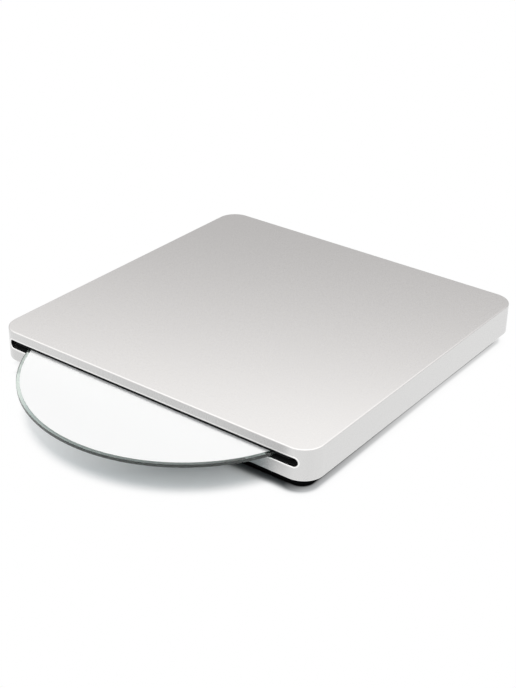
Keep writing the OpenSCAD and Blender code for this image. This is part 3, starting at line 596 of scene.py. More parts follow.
def turned_metal(name, colour, rough=0.24):
    """Ground or turned steel and brass: tight rings seen as fine noise."""
    shade = Shade(name, colour, rough, 1.0)
    rings = shade.noise(0.12, 4, (4, 4, 1))
    shade.tone(shade.noise(1.5), 0.94, 1.04)
    return shade.gloss(rings, 0.06, 0.08).bump(rings, 0.003, 0.4).material


def moulded(name, colour, rough=0.48, grain=0.4):
    """Moulded plastic with a satin skin and faint flow marks."""
    shade = Shade(name, colour, rough)
    skin = shade.noise(grain)
    shade.tone(shade.noise(4, 4, (1, 2.5, 1)), 0.94, 1.05)
    return shade.gloss(skin, 0.06, 0.08).bump(skin, 0.006, 0.4).material


def foam(name, colour):
    """Open-cell foam: cell walls in height and tone."""
    shade = Shade(name, colour, 0.95)
    walls = shade.cells(0.55)
    return shade.tone(walls, 0.5, 1.5).bump(walls, 0.2, 0.9).material


def solder_mask(name, colour):
    """Green mask over copper: fine tracks, along in some fields and across in others, plated dots
    and a glossy skin."""
    shade = Shade(name, colour, 0.3)
    pitch, plating = 2.0, (0.55, 0.52, 0.42)
    track = {"Mortar Size": 0.06, "Mortar Smooth": 0.2, "Brick Width": 4.3, "Row Height": 0.24}

    def tracks(turn):
        place = shade.scaled(pitch, pitch, pitch, turn)
        lines = shade.node("TexBrick", place, Scale=1.0, offset=0.37, **track).outputs["Fac"]
        return shade.blend(lines, shifted(colour, 1.25), shifted(colour, 0.75))

    field = shade.spread(shade.noise(9, 1), 0, 1, 0.49, 0.51)
    bare = shade.spread(shade.noise(6, 2), 0, 1, 0.5, 0.52)
    dots = shade.spread(shade.cells(2.6), 1, 0, 0.12, 0.15)
    mask = shade.blend(field, tracks(0), tracks(PI / 2))
    mask = shade.blend(bare, mask, shifted(colour, 1.05))
    shade.put("Base Color", shade.blend(dots, mask, plating))
    return shade.gloss(shade.noise(0.8), 0.06, 0.1).bump(dots, 0.02, 0.5).material


def wound_copper(name, colour):
    """Enamelled wire wound side by side: fine upright bands."""
    shade = Shade(name, colour, 0.28, 1.0).put("Coat Weight", 0.5).put("Coat Roughness", 0.12)
    bands = shade.noise(0.14, 2, (1, 1, 6))
    return shade.tone(bands, 0.6, 1.15).bump(bands, 0.05, 0.8).material


def clear_plastic():
    """Clear polycarbonate of the disc, a little green through its length and with a faint haze."""
    shade = Shade("clear_plastic", settings().disc.clear_colour, 0.04)
    shade.put("Transmission Weight", 0.965).put("IOR", 1.58)
    return shade.gloss(shade.noise(1.2), 0.01, 0.02).material


def print_white():
    """Printable white face: matt coat with a fine, even tooth."""
    shade = Shade("print_white", settings().disc.print_colour, 0.5)
    tooth = shade.noise(0.2)
    shade.tone(shade.noise(9), 0.995, 1.005)
    return shade.gloss(tooth, 0.04, 0.06).bump(tooth, 0.003, 0.3).material


def mirror_layer():
    """Reflecting layer of the disc: grooved metal, with a faint shift of tone from ring to ring."""
    shade = Shade("mirror_layer", (0.70, 0.68, 0.74), 0.16, 1.0)
    inner, outer = 22.0, 59.0
    rings = (
        (inner, (0.72, 0.64, 0.78)),
        (34.95, (0.66, 0.70, 0.80)),
        (47.9, (0.76, 0.72, 0.66)),
        (outer, (0.62, 0.74, 0.72)),
    )
    shade.put("Base Color", shade.ramp(from_disc_middle(shade), rings, inner, outer))
    return shade.gloss(shade.noise(0.4), 0.04, 0.04).material


def from_disc_middle(shade):
    """Distance in millimetres from the upright line through the disc's middle."""
    flat = shade.scaled(1, 1, FLAT)
    return shade.vector("LENGTH", shade.vector("ADD", flat, (0, -float(DISC_Y), 0)))


def lens_glass():
    """Coated lens."""
    shade = Shade("lens_glass", (0.62, 0.68, 0.90), 0.02)
    shade.put("Transmission Weight", 0.9).put("IOR", 1.6).put("Coat Weight", 0.6)
    return shade.gloss(shade.noise(0.3), 0.01, 0.01).material


def dress(material, *names):
    """Puts a material on CAD nodes through their own slots."""
    for name in names:
        piece = NODES[name]
        if not piece.material_slots:
            piece.data.materials.append(material)
        for slot in piece.material_slots:
            slot.link = "OBJECT"
            slot.material = material


# The cover


ARC = 24
SLOT_ARC = 9
STRAIGHT = 40
SIDE_STEPS, BACK_STEPS, EDGE_STEPS = 32, (5, 20), 8
LEVELS = 2 * SLOT_ARC
LIP_STEPS = WALL_RINGS = 5
SHORT_OF_SIDE = 0.999
FAN_SHARES = (1.0, 0.97, 0.6, 0.25, 0.0)
SLOT_BEAD = 0.14
WINDOW_HALF, WINDOW_STEPS, WINDOW_ARC = 6.0, 16, 4
PORT_GAP, PORT_CORNER, PORT_LIP = 0.3, 0.7, 0.25
POST_RADIUS, POST_FOOT, POST_SIDES = 2.6, 2.4, 32
BORE_RADIUS, BORE_TOP = 1.04, 10.4
RIB_Y, RIB_SET = (-40, 30), 0.4
RIB_LOW, RIB_HIGH = (-0.5, -3, 6), (0.5, 3, 8.4)


def rounded_path(half_x, half_y, radius, front, back):
    """Rounded rectangle as points and outward normals, counter-clockwise from the start of the
    front side. front (rising) and back (falling) are the x values along these sides."""
    arc = np.linspace(0, PI / 2, ARC + 1)[1:-1]
    cx, cy = half_x - radius, half_y - radius
    side = np.linspace(-cy, cy, SIDE_STEPS + 1)

    def corner(sx, sy, start):
        normal = spokes(start + arc)
        return np.array([sx * cx, sy * cy]) + radius * normal, normal

    def run(x, y, nx, ny):
        points = np.stack(np.broadcast_arrays(x, y), -1)
        return points, np.broadcast_to((float(nx), float(ny)), points.shape)

    points, normals = zip(
        run(front, -half_y, 0, -1),
        corner(1, -1, -PI / 2),
        run(half_x, side, 1, 0),
        corner(1, 1, 0),
        run(back, half_y, 0, 1),
        corner(-1, 1, PI / 2),
        run(-half_x, side[::-1], -1, 0),
        corner(-1, -1, PI),
    )
    return np.concatenate(points), np.concatenate(normals)


def hole_loop(half_w, half_h, radius, arc_n, top_n, side_n):
    """Closed loop of a rounded hole from the middle of its upper left corner, clockwise: along the
    top, down the right, back along the bottom and up the left. Each side is arc, straight, arc.
    Gives points (x, z) and outward normals."""
    cx, cz = half_w - radius, half_h - radius
    arc = np.linspace(0, PI / 4, arc_n + 1)

    def side(ax, az, bx, bz, start, straight_n):
        tail = slice(1, -1) if straight_n == 0 else slice(0, -1)
        first, last = spokes(start - arc), spokes(start - PI / 4 - arc)
        a, b = np.array([ax, az]) + radius * first, np.array([bx, bz]) + radius * last
        line = np.linspace(0, 1, straight_n + 1)[1:-1, None]
        middle = a[-1] + (b[0] - a[-1]) * line
        normals = np.concatenate([first, np.repeat(first[-1:], len(middle), 0), last[tail]])
        return np.concatenate([a, middle, b[tail]]), normals

    points, normals = zip(
        side(-cx, cz, cx, cz, 3 * PI / 4, top_n),
        side(cx, cz, cx, -cz, PI / 4, side_n),
        side(cx, -cz, -cx, -cz, -PI / 4, top_n),
        side(-cx, -cz, -cx, cz, -3 * PI / 4, side_n),
    )
    return np.concatenate(points), np.concatenate(normals)


def frame_loop(xs, zs):
    """The same loop on a rectangle with given x values (rising) and z values (rising)."""
    sides = ((xs[:-1], zs[-1]), (xs[-1], zs[:0:-1]), (xs[:0:-1], zs[0]), (xs[0], zs[:-1]))
    return np.concatenate([np.stack(np.broadcast_arrays(x, z), -1) for x, z in sides])


def wall_with_hole(xs_out, xs_in, zs_out, zs_in, outer, inner, hole, centre, lip, bead):
    """Patches of a wall pierced by a hole: outer face, lip, through wall and inner face. The lip is
    a bead: it rises from the wall by a quarter of an ellipse and turns into the hole by a quarter
    circle. outer(x) and inner(x) give y and the flat normal of the two faces."""
    loop, away = hole
    loop = loop + np.asarray(centre)

    def on(face, flat):
        y, normal = face(flat[..., 0])
        points = np.stack([flat[..., 0], y, flat[..., 1]], -1)
        return points, np.concatenate([normal, np.zeros(normal.shape[:-1] + (1,))], -1)

    def ring(face, start, end, sign):
        share = np.linspace(0, 1, WALL_RINGS + 1)[:, None, None]
        points, normals = on(face, start * (1 - share) + end * share)
        return grid_patch(points, sign * normals, True)

    inward = np.stack([-away[:, 0], np.zeros(len(away)), -away[:, 1]], -1)
    turn = np.linspace(-PI / 2, PI / 2, 2 * LIP_STEPS + 1)[:, None, None]
    points, normals = on(outer, loop + away * lip * (1 - np.sin(turn)))
    height = np.where(turn < 0, bead * np.cos(turn), bead + lip * (np.cos(turn) - 1))
    points = points + np.sign(normals[..., 1:2]) * height * np.array([0, 1, 0])
    steep = np.where(turn < 0, bead, lip) / lip * np.sin(turn)
    through = np.stack([points[-1], on(inner, loop)[0]])
    return [
        ring(outer, loop + away * lip * 2, frame_loop(xs_out, zs_out), 1),
        grid_patch(points, normals * np.cos(turn) + inward * steep, True),
        grid_patch(through, np.stack([inward, inward]), True),
        ring(inner, loop, frame_loop(xs_in, zs_in), -1),
    ]


def cover_patches():
    """The cover: one profile (top rounding, wall, bottom rounding, lower edge, inner wall) carried
    round a rounded rectangle, a flat fan for the top and the roof, two walls pierced by the disc
    slot and the port window, screw posts and ribs. Gives the patches and which are cut bright."""
    c = settings().cover
    sizes = (c.width, c.depth, c.top, c.bottom, c.corner, c.edge, c.lower_edge, c.wall)
    w, d, top, low, r, e, be, t = (v / MM for v in sizes)
    hx, hy, roof = w / 2, d / 2, top - t
    cx, cy = hx - r, hy - r
    port_lo, port_hi = cad_box("usb_shell")
    port_x, _, port_z = (port_lo + port_hi) / 2
    port_a, port_b = port_x + WINDOW_HALF, port_x - WINDOW_HALF
    front = np.linspace(-cx, cx, STRAIGHT + 1)
    window = np.linspace(port_a, port_b, WINDOW_STEPS + 1)
    before = np.linspace(cx, port_a, BACK_STEPS[0] + 1)[:-1]
    after = np.linspace(port_b, -cx, BACK_STEPS[1] + 1)[1:]
    path, normal = rounded_path(hx, hy, r, front, np.concatenate([before, window, after]))
    inside = path - normal * t
    count = len(path)

    def carried(offsets, heights, normals, columns=np.arange(count + 1)):
        p, n = path[columns % count], normal[columns % count]
        out, up = (np.reshape(part, (-1, 1, 1)) for part in np.transpose(normals))
        flat = p + n * np.reshape(offsets, (-1, 1, 1))
        upright = flat.shape[:2] + (1,)
        z = np.broadcast_to(np.reshape(heights, (-1, 1, 1)), upright)
        turned = np.concatenate([n * out, np.broadcast_to(up, upright)], -1)
        return grid_patch(np.concatenate([flat, z], -1), turned)

    def fan(offset, height, up):
        flat = (path + normal * offset) * np.reshape(FAN_SHARES, (-1, 1, 1))
        flat = np.concatenate([flat, flat[:, :1]], 1)
        points = np.concatenate([flat, np.full(flat.shape[:2] + (1,), height)], -1)
        return grid_patch(points, np.broadcast_to((0.0, 0.0, up), points.shape))

    def face(inset, sign):
        radius = r - inset

        def at(x):
            over = np.clip(np.abs(x) - cx, 0, radius * SHORT_OF_SIDE)
            drop = np.sqrt(radius * radius - over * over)
            return sign * (cy + drop), np.stack([np.sign(x) * over, sign * drop], -1) / radius

        return at

    turn = np.linspace(0, PI / 2, EDGE_STEPS + 1)
    sin, cos = np.sin(turn), np.cos(turn)
    out = [
        fan(-e, top, 1.0),
        carried(-e + e * sin, top - e + e * cos, np.stack([sin, cos], -1)),
        carried(-be + be * cos, low + be - be * sin, np.stack([cos, -sin], -1)),
        carried([-be, -t], [low, low], [(0, -1), (0, -1)]),
        fan(-t, roof, -1.0),
    ]

    # columns of the slot's part of the wall, from the left corner over the front to the right
    slot_columns = np.arange(-SLOT_ARC, STRAIGHT + SLOT_ARC + 1)
    port_start = int(np.argmin(np.hypot(path[:, 0] - port_a, path[:, 1] - hy)))
    port_columns = np.arange(port_start, port_start + WINDOW_STEPS + 1)
    right = np.arange(slot_columns[-1], port_columns[0] + 1)
    left = np.arange(port_columns[-1], count + slot_columns[0] + 1)
    zs_out = np.linspace(low + be, top - e, LEVELS + 1)
    zs_in = np.linspace(low, roof, LEVELS + 1)
    for columns in (right, left):
        for inset, heights, away in ((0.0, zs_out, 1.0), (t, zs_in, -1.0)):
            offsets, normals = np.full(LEVELS + 1, -inset), np.tile([away, 0.0], (LEVELS + 1, 1))
            out.append(carried(offsets, heights, normals, columns))

    def pierced(columns, sign, *hole):
        xs_out, xs_in = path[columns % count, 0], inside[columns % count, 0]
        return wall_with_hole(xs_out, xs_in, zs_out, zs_in, face(0, sign), face(t, sign), *hole)

    cut = [2, len(out) + 1]
    slot_w, slot_h = c.slot_width / MM / 2, c.slot_height / MM / 2
    slot = hole_loop(slot_w, slot_h, slot_h, SLOT_ARC, STRAIGHT, 0)
    out += pierced(slot_columns, -1, slot, (0, DISC_Z), c.slot_lip / MM, SLOT_BEAD)
    port_w, _, port_h = (port_hi - port_lo) / 2 + PORT_GAP
    straight = [steps - 2 * WINDOW_ARC for steps in (WINDOW_STEPS, LEVELS)]
    port = hole_loop(port_w, port_h, PORT_CORNER, WINDOW_ARC, *straight)
    out += pierced(port_columns[::-1], 1, port, (port_x, port_z), PORT_LIP, 0.0)

    post = [(0, BORE_TOP), (BORE_RADIUS, BORE_TOP), (BORE_RADIUS, POST_FOOT)]
    post += [(POST_RADIUS, POST_FOOT), (POST_RADIUS, roof), (0, roof)]
    for side in (-1, 1):
        out += profile_patches(post, (side * SCREW_X, SCREW_Y, 0), POST_SIDES)
        for y in RIB_Y:
            rib = np.array([side * (hx - t - RIB_SET), y, 0])
            out += box_patches(rib + RIB_LOW, rib + RIB_HIGH)
    return out, cut


class DRIVE_OT_cover(bpy.types.Operator):
    """Silver cover with slot, port window, bosses and ribs"""

    bl_idname = "drive.cover"
    bl_label = "Cover"

    def execute(self, context):
        patches, cut = cover_patches()
        silver, bright = blasted_silver(), cut_edge()
        build("cover", patches, "case", silver, ["top_shell"], bright, cut)
        return {"FINISHED"}


class DRIVE_OT_disc(bpy.types.Operator):
    """Disc of clear plastic with its mirror layer and white face"""

    bl_idname = "drive.disc"
    bl_label = "Disc"

    def execute(self, context):
        disc = settings().disc
        radius, hole = disc.radius / MM, disc.hole / MM
        low, high = DISC_LO[2], DISC_HI[2]
        face, rib, edge, thin, sides = high - 0.03, low - 0.16, 0.12, 0.02, 192
        rib_radii, mirror_radii = (16.4, 16.55, 17.35, 17.5), (21.5, 58.7)
        middle = (low + face) / 2
        outline = list(zip(rib_radii, (low, rib, rib, low)))
        outline += [(radius, low), (radius, face), (hole, face), (hole, low), outline[0]]

        def turned(corners):
            return profile_patches(corners, (0, DISC_Y, 0), sides)

        def sheet(inner, outer, z0, z1):
            return turned([(inner, z0), (outer, z0), (outer, z1), (inner, z1), (inner, z0)])

        clear = turned(rounded(outline, edge, 3))
        mirror = sheet(*mirror_radii, middle - thin, middle + thin)
        white = sheet(disc.print_inner / MM, disc.print_outer / MM, face - thin, high)
        build("disc_clear", clear, "disc_body", clear_plastic(), ["disc"])
        build("disc_mirror", mirror, "disc_body", mirror_layer())
        build("disc_print", white, "disc_body", print_white())
        return {"FINISHED"}


class DRIVE_OT_base(bpy.types.Operator):
    """Finish of base, pad, foam and port"""

    bl_idname = "drive.base"
    bl_label = "Base"

    def execute(self, context):
        finish = settings().finish
        dress(spark_black("spark_black", finish.base), "base_pan")
        dress(rubber("pad_rubber", finish.pad), "rubber_pad")
        low, high = cad_box("foam_pads")
        middle, half, power = (low + high) / 2, (high - low) / 2, 0.16
        half[0] = 7.0
        places = [middle + (side * (high[0] - half[0]), 0, 0) for side in (-1, 1)]
        sides = [pillow_patch(place, half, power) for place in places]
        grey = foam("foam", (0.10, 0.10, 0.105))
        pads = build("foam_cushions", sides, "case", grey, ["foam_pads"])
        dress(sheet_metal("tin_plate", (0.72, 0.72, 0.73), 0.22), "usb_shell")
        dress(moulded("port_black", (0.02, 0.02, 0.02)), "usb_tongue", "sata_plug", "sata_socket")
        return {"FINISHED"}


def felt_patches(plate, lip, up):
    """One felt lip. Its profile, a plate behind the wall with a round nose that reaches into the
    slot, is carried along the front wall; the nose is half an ellipse, and shrinks to nothing at
    the slot's ends. Fine waves roughen it. plate and lip give lowest and highest z, and up is 1
    where the nose is at the plate's lower edge and -1 where it is at the upper."""
    c = settings().cover
    hx, hy, r, t = (v / MM for v in (c.width / 2, c.depth / 2, c.corner, c.wall))
    end_gap, deep, chamfer, slot_gap, taper = 2.2, 1.8, 0.3, 1.2, 2.5
    tip_gap, ripple, nose_long, steps, nose_steps = 0.08, 0.03, 0.25, 240, 12
    inner, end, back = r - t, hx - t - end_gap, -hy + t + deep
    x = np.linspace(-end, end, steps + 1)
    over = np.clip(np.abs(x) - (hx - r), 0, inner)
    wall = -(hy - r) - np.sqrt(inner * inner - over * over)
    room = np.clip((c.slot_width / MM / 2 - slot_gap - np.abs(x)) / taper, 0, 1)
    waves = np.sin(5.1 * x) + np.sin(8.7 * x + 1.3) + np.sin(17.9 * x + 0.4)
    reach = (t - tip_gap) * room * room * (3 - 2 * room) + room * ripple * waves
    wall, reach = wall[:, None], reach[:, None]
    turn = np.linspace(PI / 2, -PI / 2, nose_steps + 1)
    nose = np.minimum(nose_long, np.maximum(reach, 0))
    nose_y = wall - (reach - nose) - nose * np.cos(turn)
    nose_z = up * (lip[0] + lip[1]) / 2 + (lip[1] - lip[0]) / 2 * np.sin(turn)
    behind = np.maximum(back, wall + chamfer)
    low, high = sorted(up * z for z in plate)
    y = np.concatenate([wall, nose_y, behind - chamfer, behind, behind], 1)
    z = up * np.concatenate([[high], nose_z, [low, low + chamfer, high]])
    return tube_patches(np.stack(np.broadcast_arrays(x[:, None], y, z), -1))


class DRIVE_OT_felts(bpy.types.Operator):
    """Felt lips behind the slot"""

    bl_idname = "drive.felts"
    bl_label = "Slot felts"

    def execute(self, context):
        pile = felt("slot_felt", settings().finish.felt)
        edge_gap, disc_gap = 0.1, 0.06
        edge = settings().cover.slot_height / MM / 2 - edge_gap
        names = ("slot_felt_upper", "slot_felt_lower")
        upper, lower = (tuple(corner[2] for corner in cad_box(name)) for name in names)
        above = felt_patches(upper, (DISC_HI[2] + disc_gap, DISC_Z + edge), 1)
        below = felt_patches(lower, (DISC_Z - edge, lower[1]), -1)
        build("felt_upper", above, "case", pile, ["slot_felt_upper"])
        build("felt_lower", below, "case", pile, ["slot_felt_lower"])
        return {"FINISHED"}


SCREW_SIDES = 128


def screw_patches(x, y, face, tip, head, tall, shank):
    """Pan-head screw between the heights of its face and its tip. The face is a function of radius
    and angle: a shallow crown, rounded at the rim, less a cross recess, which is deep where the
    point lies within a bar along x or along y."""
    sign = 1.0 if tip > face else -1.0
    fine, rim_start, rim_steep = 0.68, 0.8, 0.98
    recess_deep, crown_deep, rim_deep = 0.68 * tall, 0.12 * tall, 0.36 * tall
    bar_half, bar_thins, bar_soft, bar_end, bar_slope = 0.12, 0.06, 0.04, 0.55, 0.16
    part = np.concatenate([np.linspace(0, fine, 31), np.linspace(fine, 1, 12)[1:]])[:, None]
    angle = np.linspace(0, 2 * PI, SCREW_SIDES, endpoint=False)
    cos, sin = np.cos(angle), np.sin(angle)
    u, v = np.abs(part * cos), np.abs(part * sin)

    def bar(across, along):
        wide = np.clip((bar_half - bar_thins * along - across) / bar_soft + 0.5, 0, 1)
        return wide * np.clip((bar_end - along) / bar_slope, 0, 1)

    recess = recess_deep * np.maximum(bar(u, v), bar(v, u))
    rim = np.clip((part - rim_start) / (1 - rim_start), 0, 1)
    crown = crown_deep * part**2 + rim_deep * (1 - np.sqrt(1 - rim_steep * rim * rim))
    z = face + sign * (recess + crown)
    points = np.stack([x + head * part * cos, y + head * part * sin, z], -1)
    normals = grid_normals(points)
    normals[0] = (0, 0, -sign)
    normals *= -sign * np.sign(normals[..., 2:])
    long, point, taper = abs(tip - face), 0.5, 0.4
    run = [(head, float(crown[-1, 0])), (head, tall), (shank, tall)]
    run += [(shank, long - point), (shank - taper, long), (0, long)]
    side = [(radius, face + sign * depth) for radius, depth in run]
    under = profile_patches(side[:: int(sign)], (x, y, 0), SCREW_SIDES)
    return [grid_patch(points, normals, True)] + under


class DRIVE_OT_screws(bpy.types.Operator):
    """Cross-head screws of case, drive unit and traverse"""

    bl_idname = "drive.screws"
    bl_label = "Screws"

    def execute(self, context):
        steel = turned_metal("screw_steel", (0.30, 0.30, 0.31))
        unit_low, unit_high = cad_box("drive_screws")
        unit_head = 2.0
        case = [(side * SCREW_X, SCREW_Y) for side in (-1, 1)]
        xs, ys = zip(unit_low[:2] + unit_head, unit_high[:2] - unit_head)
        unit = [(x, y) for x in xs for y in ys]
        traverse = [traverse_point(*at)[:2] for at in DAMPERS]
        for name, node, places, head_up, sizes in (
            ("case_screw_heads", "case_screws", case, False, (CASE_SCREW_HEAD, 0.8, 1.0)),
            ("unit_screw_heads", "drive_screws", unit, True, (unit_head, 0.9, 0.9)),
            ("traverse_screw_heads", "traverse_screws", traverse, True, (2.4, 0.7, 1.2)),
        ):
            tip, face = sorted((corner[2] for corner in cad_box(node)), reverse=not head_up)
            screws = [p for at in places for p in screw_patches(*at, face, tip, *sizes)]
            build(name, screws, "case", steel, [node])
        return {"FINISHED"}


class DRIVE_OT_port(bpy.types.Operator):
    """Gilt contacts on the tongue of the port"""

    bl_idname = "drive.port"
    bl_label = "Port contacts"

    def execute(self, context):
        low, high = cad_box("usb_tongue")
        pitch, wide, tall, square = 0.8, 0.21, 0.06, 0.35
        dip_deep, dip_long, arch_high, arch_at, arch_half = 0.1, 0.4, 0.13, 1.4, 0.5
        y = np.linspace(low[1] + 0.2, high[1] - 0.35, 40)[:, None]
        from_tip = y - y[-1]
        dip = dip_deep * np.clip((from_tip + dip_long) / dip_long, 0, 1) ** 2
        arch = arch_high * np.exp(-(((from_tip + arch_at) / arch_half) ** 2)) - dip
        turn = np.linspace(0, 2 * PI, 16, endpoint=False)
        z = high[2] + 0.03 + arch + tall * raised(np.sin(turn), square)
        strips = []
        for k in range(-2, 3):
            x = (low[0] + high[0]) / 2 + pitch * k + wide * raised(np.cos(turn), square)
            strips += tube_patches(np.stack(np.broadcast_arrays(x, y, z), -1))
        gilt = turned_metal("gilt", (0.83, 0.62, 0.24), 0.2)
        build("port_contacts", strips, "case", gilt)
        return {"FINISHED"}


def board_parts():
    """Legs of the chips, rows of small parts on both boards, and a crystal's can."""
    tin = sheet_metal("solder_tin", (0.50, 0.50, 0.49), 0.3, (1, 1, 1), 0.2)
    control, driver = cad_box("controller_chip"), cad_box("driver_chip")
    legs = leg_patches(*control, (18, 18)) + leg_patches(*driver, (11, 8))
    build("chip_legs", legs, "case", tin)
    top, bridge = control[0][2], cad_box("bridge_chip")[0][2]
    (x0, y0, _), (x1, y1, _) = control
    row, close_row = np.arange(6) * 2.2, np.arange(12) * 1.55
    flat, upright, long, high = (1.1, 0.6, 0.6), (0.6, 1.1, 0.6), (2.0, 1.25, 0.9), (1.25, 2.0, 0.9)
    across, along, coil = (1.6, 0.8, 0.45), (0.8, 1.6, 0.45), (3.0, 2.5, 1.4)
    brown = [(x0 - 2.6, y, top, upright) for y in y0 + 1 + row]
    brown += [(x, y1 + 2.6, top, flat) for x in x0 + 1 + row]
    brown += [(x1 + 2.6, y, top, upright) for y in y0 + 3.2 + row[:5]]
    brown += [(x, y0 - 3.0, top, long) for x in x0 + 1 + row[:5] * 1.3]
    brown += [(x, -51.5, top, high) for x in (-7.6, -5.6, -3.6)]
    brown += [(x, y, bridge, flat) for x in (51.4, 53.4) for y in (62.6, 64.0, 65.4)]
    dark = [(-43.4, y, top, across) for y in -25.6 + close_row[:11]]
    dark += [(x, -57.4, top, along) for x in -40 + close_row]
    dark += [(-1.0, -52.5, top, coil), (3.2, -53.0, top, coil)]
    for name, colour, places in (
        ("board_capacitors", (0.36, 0.25, 0.16), brown),
        ("board_resistors", (0.03, 0.03, 0.032), dark),
    ):
        patches = [p for at in places for p in chip_part_patches(*at)]
        ends = [k for k in range(len(patches)) if k % PART_FACES < CAP_FACES]
        build(name, patches, "case", moulded(name, colour, 0.5, 0.1), (), tin, ends)
    can = pillow_patch((-33.5, -27.0, top + 0.55), (2.5, 1.6, 0.55), 0.2)
    build("crystal_can", [can], "case", tin)


class DRIVE_OT_unit(bpy.types.Operator):
    """Finish of the drive unit and its boards"""

    bl_idname = "drive.unit"
    bl_label = "Drive unit"

    def execute(self, context):
        finish = settings().finish
        zinc = sheet_metal("zinc_sheet", finish.zinc)
        chip = moulded("chip_black", (0.028, 0.028, 0.03), 0.55, 0.15)
        grey = moulded("frame_grey", finish.frame_grey)
        dress(zinc, "drive_pan", "drive_cover", "motor_bracket", "spindle_base")
        dress(solder_mask("solder_mask", finish.board), "main_board", "bridge_board")
        dress(chip, "controller_chip", "driver_chip", "bridge_chip")
        dress(moulded("socket_white", (0.78, 0.76, 0.68)), "ffc_socket")
        dress(grey, "side_guide_left", "side_guide_right", "traverse_frame", "pickup_carriage")
        board_parts()
        return {"FINISHED"}


class DRIVE_OT_loader(bpy.types.Operator):
    """Finish of arms, slider, gears, worm and motor"""

    bl_idname = "drive.loader"
    bl_label = "Loader"

    def execute(self, context):
        acetal = moulded("acetal", settings().finish.acetal, 0.42)
        pin = turned_metal("pin_steel", (0.44, 0.445, 0.46))
        dress(acetal, "cam_slider", "rack_gear", "worm_gear", "eject_holder", "loading_holder")
        dress(acetal, "sled_nut", "clamp_claws")
        arm = sheet_metal("arm_steel", (0.62, 0.63, 0.64), 0.3, (6, 1, 1))
        dress(arm, "eject_arm", "loading_arm")
        dress(pin, "slider_posts", "eject_pivot", "loading_pivot")
        low, high = cad_box("gear_pins")
        foot, neck, crown, dimple, bottom = 1.6, 0.78, 0.62, 0.24, 0.16
        base, step, chamfer, dip, shorter, sides = low[2], low[2] + 0.2, 0.2, 0.12, 0.3, 64
        first = (low[0] + foot, low[1] + foot, high[2])
        second = (high[0] - foot, high[1] - foot, high[2] - shorter)
        posts = []
        for x, y, top in (first, second):
            run = [(0, base), (foot, base), (foot, step), (neck, step), (neck, top - chamfer)]
            run += [(crown, top), (dimple, top), (bottom, top - dip), (0, top - dip)]
            posts += profile_patches(run, (x, y, 0), sides)
        build("gear_posts", posts, "case", pin, ["gear_pins"])
        dress(sheet_metal("motor_can", (0.55, 0.56, 0.58), 0.26, (1, 8, 1), 0.2), "load_motor")
        dress(turned_metal("worm_brass", (0.72, 0.53, 0.22)), "worm")
        return {"FINISHED"}


class DRIVE_OT_traverse(bpy.types.Operator):
    """Finish of spindle, pickup, rods and screw"""

    bl_idname = "drive.traverse"
    bl_label = "Traverse"

    def execute(self, context):
        dress(rubber("damper_rubber", (0.02, 0.02, 0.02), 0.2), "dampers", "turntable_pad")
        dress(wound_copper("wound_copper", (0.66, 0.33, 0.13)), "stator")
        rod = turned_metal("rod_steel", (0.72, 0.73, 0.74), 0.14)
        dress(rod, "guide_rod_main", "guide_rod_sub")
        axis = traverse_point(0, 18.5, 8.2)
        thread = thread_patches((8, 64.5), (4.5, 66.5), axis, 1.25, 0.92, 0.6, 3.0)
        build("lead_screw_thread", thread, "screw_shaft", rod, ["lead_screw"])
        can = sheet_metal("sled_can", (0.55, 0.56, 0.58), 0.26, (6, 1, 1), 0.2, PI / 4)
        dress(can, "sled_motor")
        dress(turned_metal("rotor_metal", (0.40, 0.41, 0.43), 0.3), "turntable")
        dress(moulded("bonded_magnet", (0.055, 0.055, 0.06), 0.5, 0.2), "rotor_magnet")
        dress(moulded("lens_carrier", (0.02, 0.02, 0.022), 0.4), "lens_holder")
        dress(lens_glass(), "objective_lens")
        return {"FINISHED"}


# Stage


FRAME_LONG = 688
FOCAL_PIXELS = 1333.80066
CAMERA_AZIMUTH = 0.6353770085
CAMERA_ELEVATION = 0.498958607
CAMERA_ROLL = 0.0176070678
CAMERA_TARGET = (5.330863, -10.962930, 10.0)
CAMERA_DISTANCE = 494.754101
KEY_PLACE = (0, 190, 1250)
KEY_SIZE = 260
FLOOR_HALF = 3000
CARD_HEADING = math.radians(115.4)
CARD_DISTANCE, CARD_HALF, CARD_LOW, CARD_TOP = 107, 700, 22, 126
CARD_WARMTH = (1.018, 0.997, 0.99)
# place of the card of painted shade before the front wall
FLAG_GAP = 1.2
FLAG_X, FLAG_Z = (-67, 63.0), (12.6, 16.9)
BASE_INSET, BASE_CORNER = 4.0, 5.0
FADE_IN, FADE_OUT = -25, 5


def aim(obj, place, target, roll=0.0):
    """Puts obj at place, in millimetres, looking at target and turned by roll about that line."""
    place, target = Vector(place) * MM, Vector(target) * MM
    look = (target - place).normalized().to_track_quat("-Z", "Y").to_matrix()
    turn = look @ Matrix.Rotation(roll, 3, "Z")
    obj.matrix_world = Matrix.Translation(place) @ turn.to_4x4()


def placed(name, data, place, target, roll=0.0):
    """A new object of the scene, aimed at target."""
    obj = bpy.data.objects.new(name, data)
    bpy.context.scene.collection.objects.link(obj)
    aim(obj, place, target, roll)
    return obj


def photo_camera():
    """Camera at the angles and distance that were fitted to the drive's edges."""
    camera = bpy.data.cameras.new("view")
    camera.sensor_width = 36.0
    camera.lens = FOCAL_PIXELS * camera.sensor_width / FRAME_LONG
    camera.clip_start, camera.clip_end = 0.01, 20.0
    a, e = CAMERA_AZIMUTH, CAMERA_ELEVATION
    back = np.array([math.sin(a) * math.cos(e), -math.cos(a) * math.cos(e), math.sin(e)])
    place = np.array(CAMERA_TARGET) + back * CAMERA_DISTANCE
    return placed("view", camera, place, CAMERA_TARGET, CAMERA_ROLL)


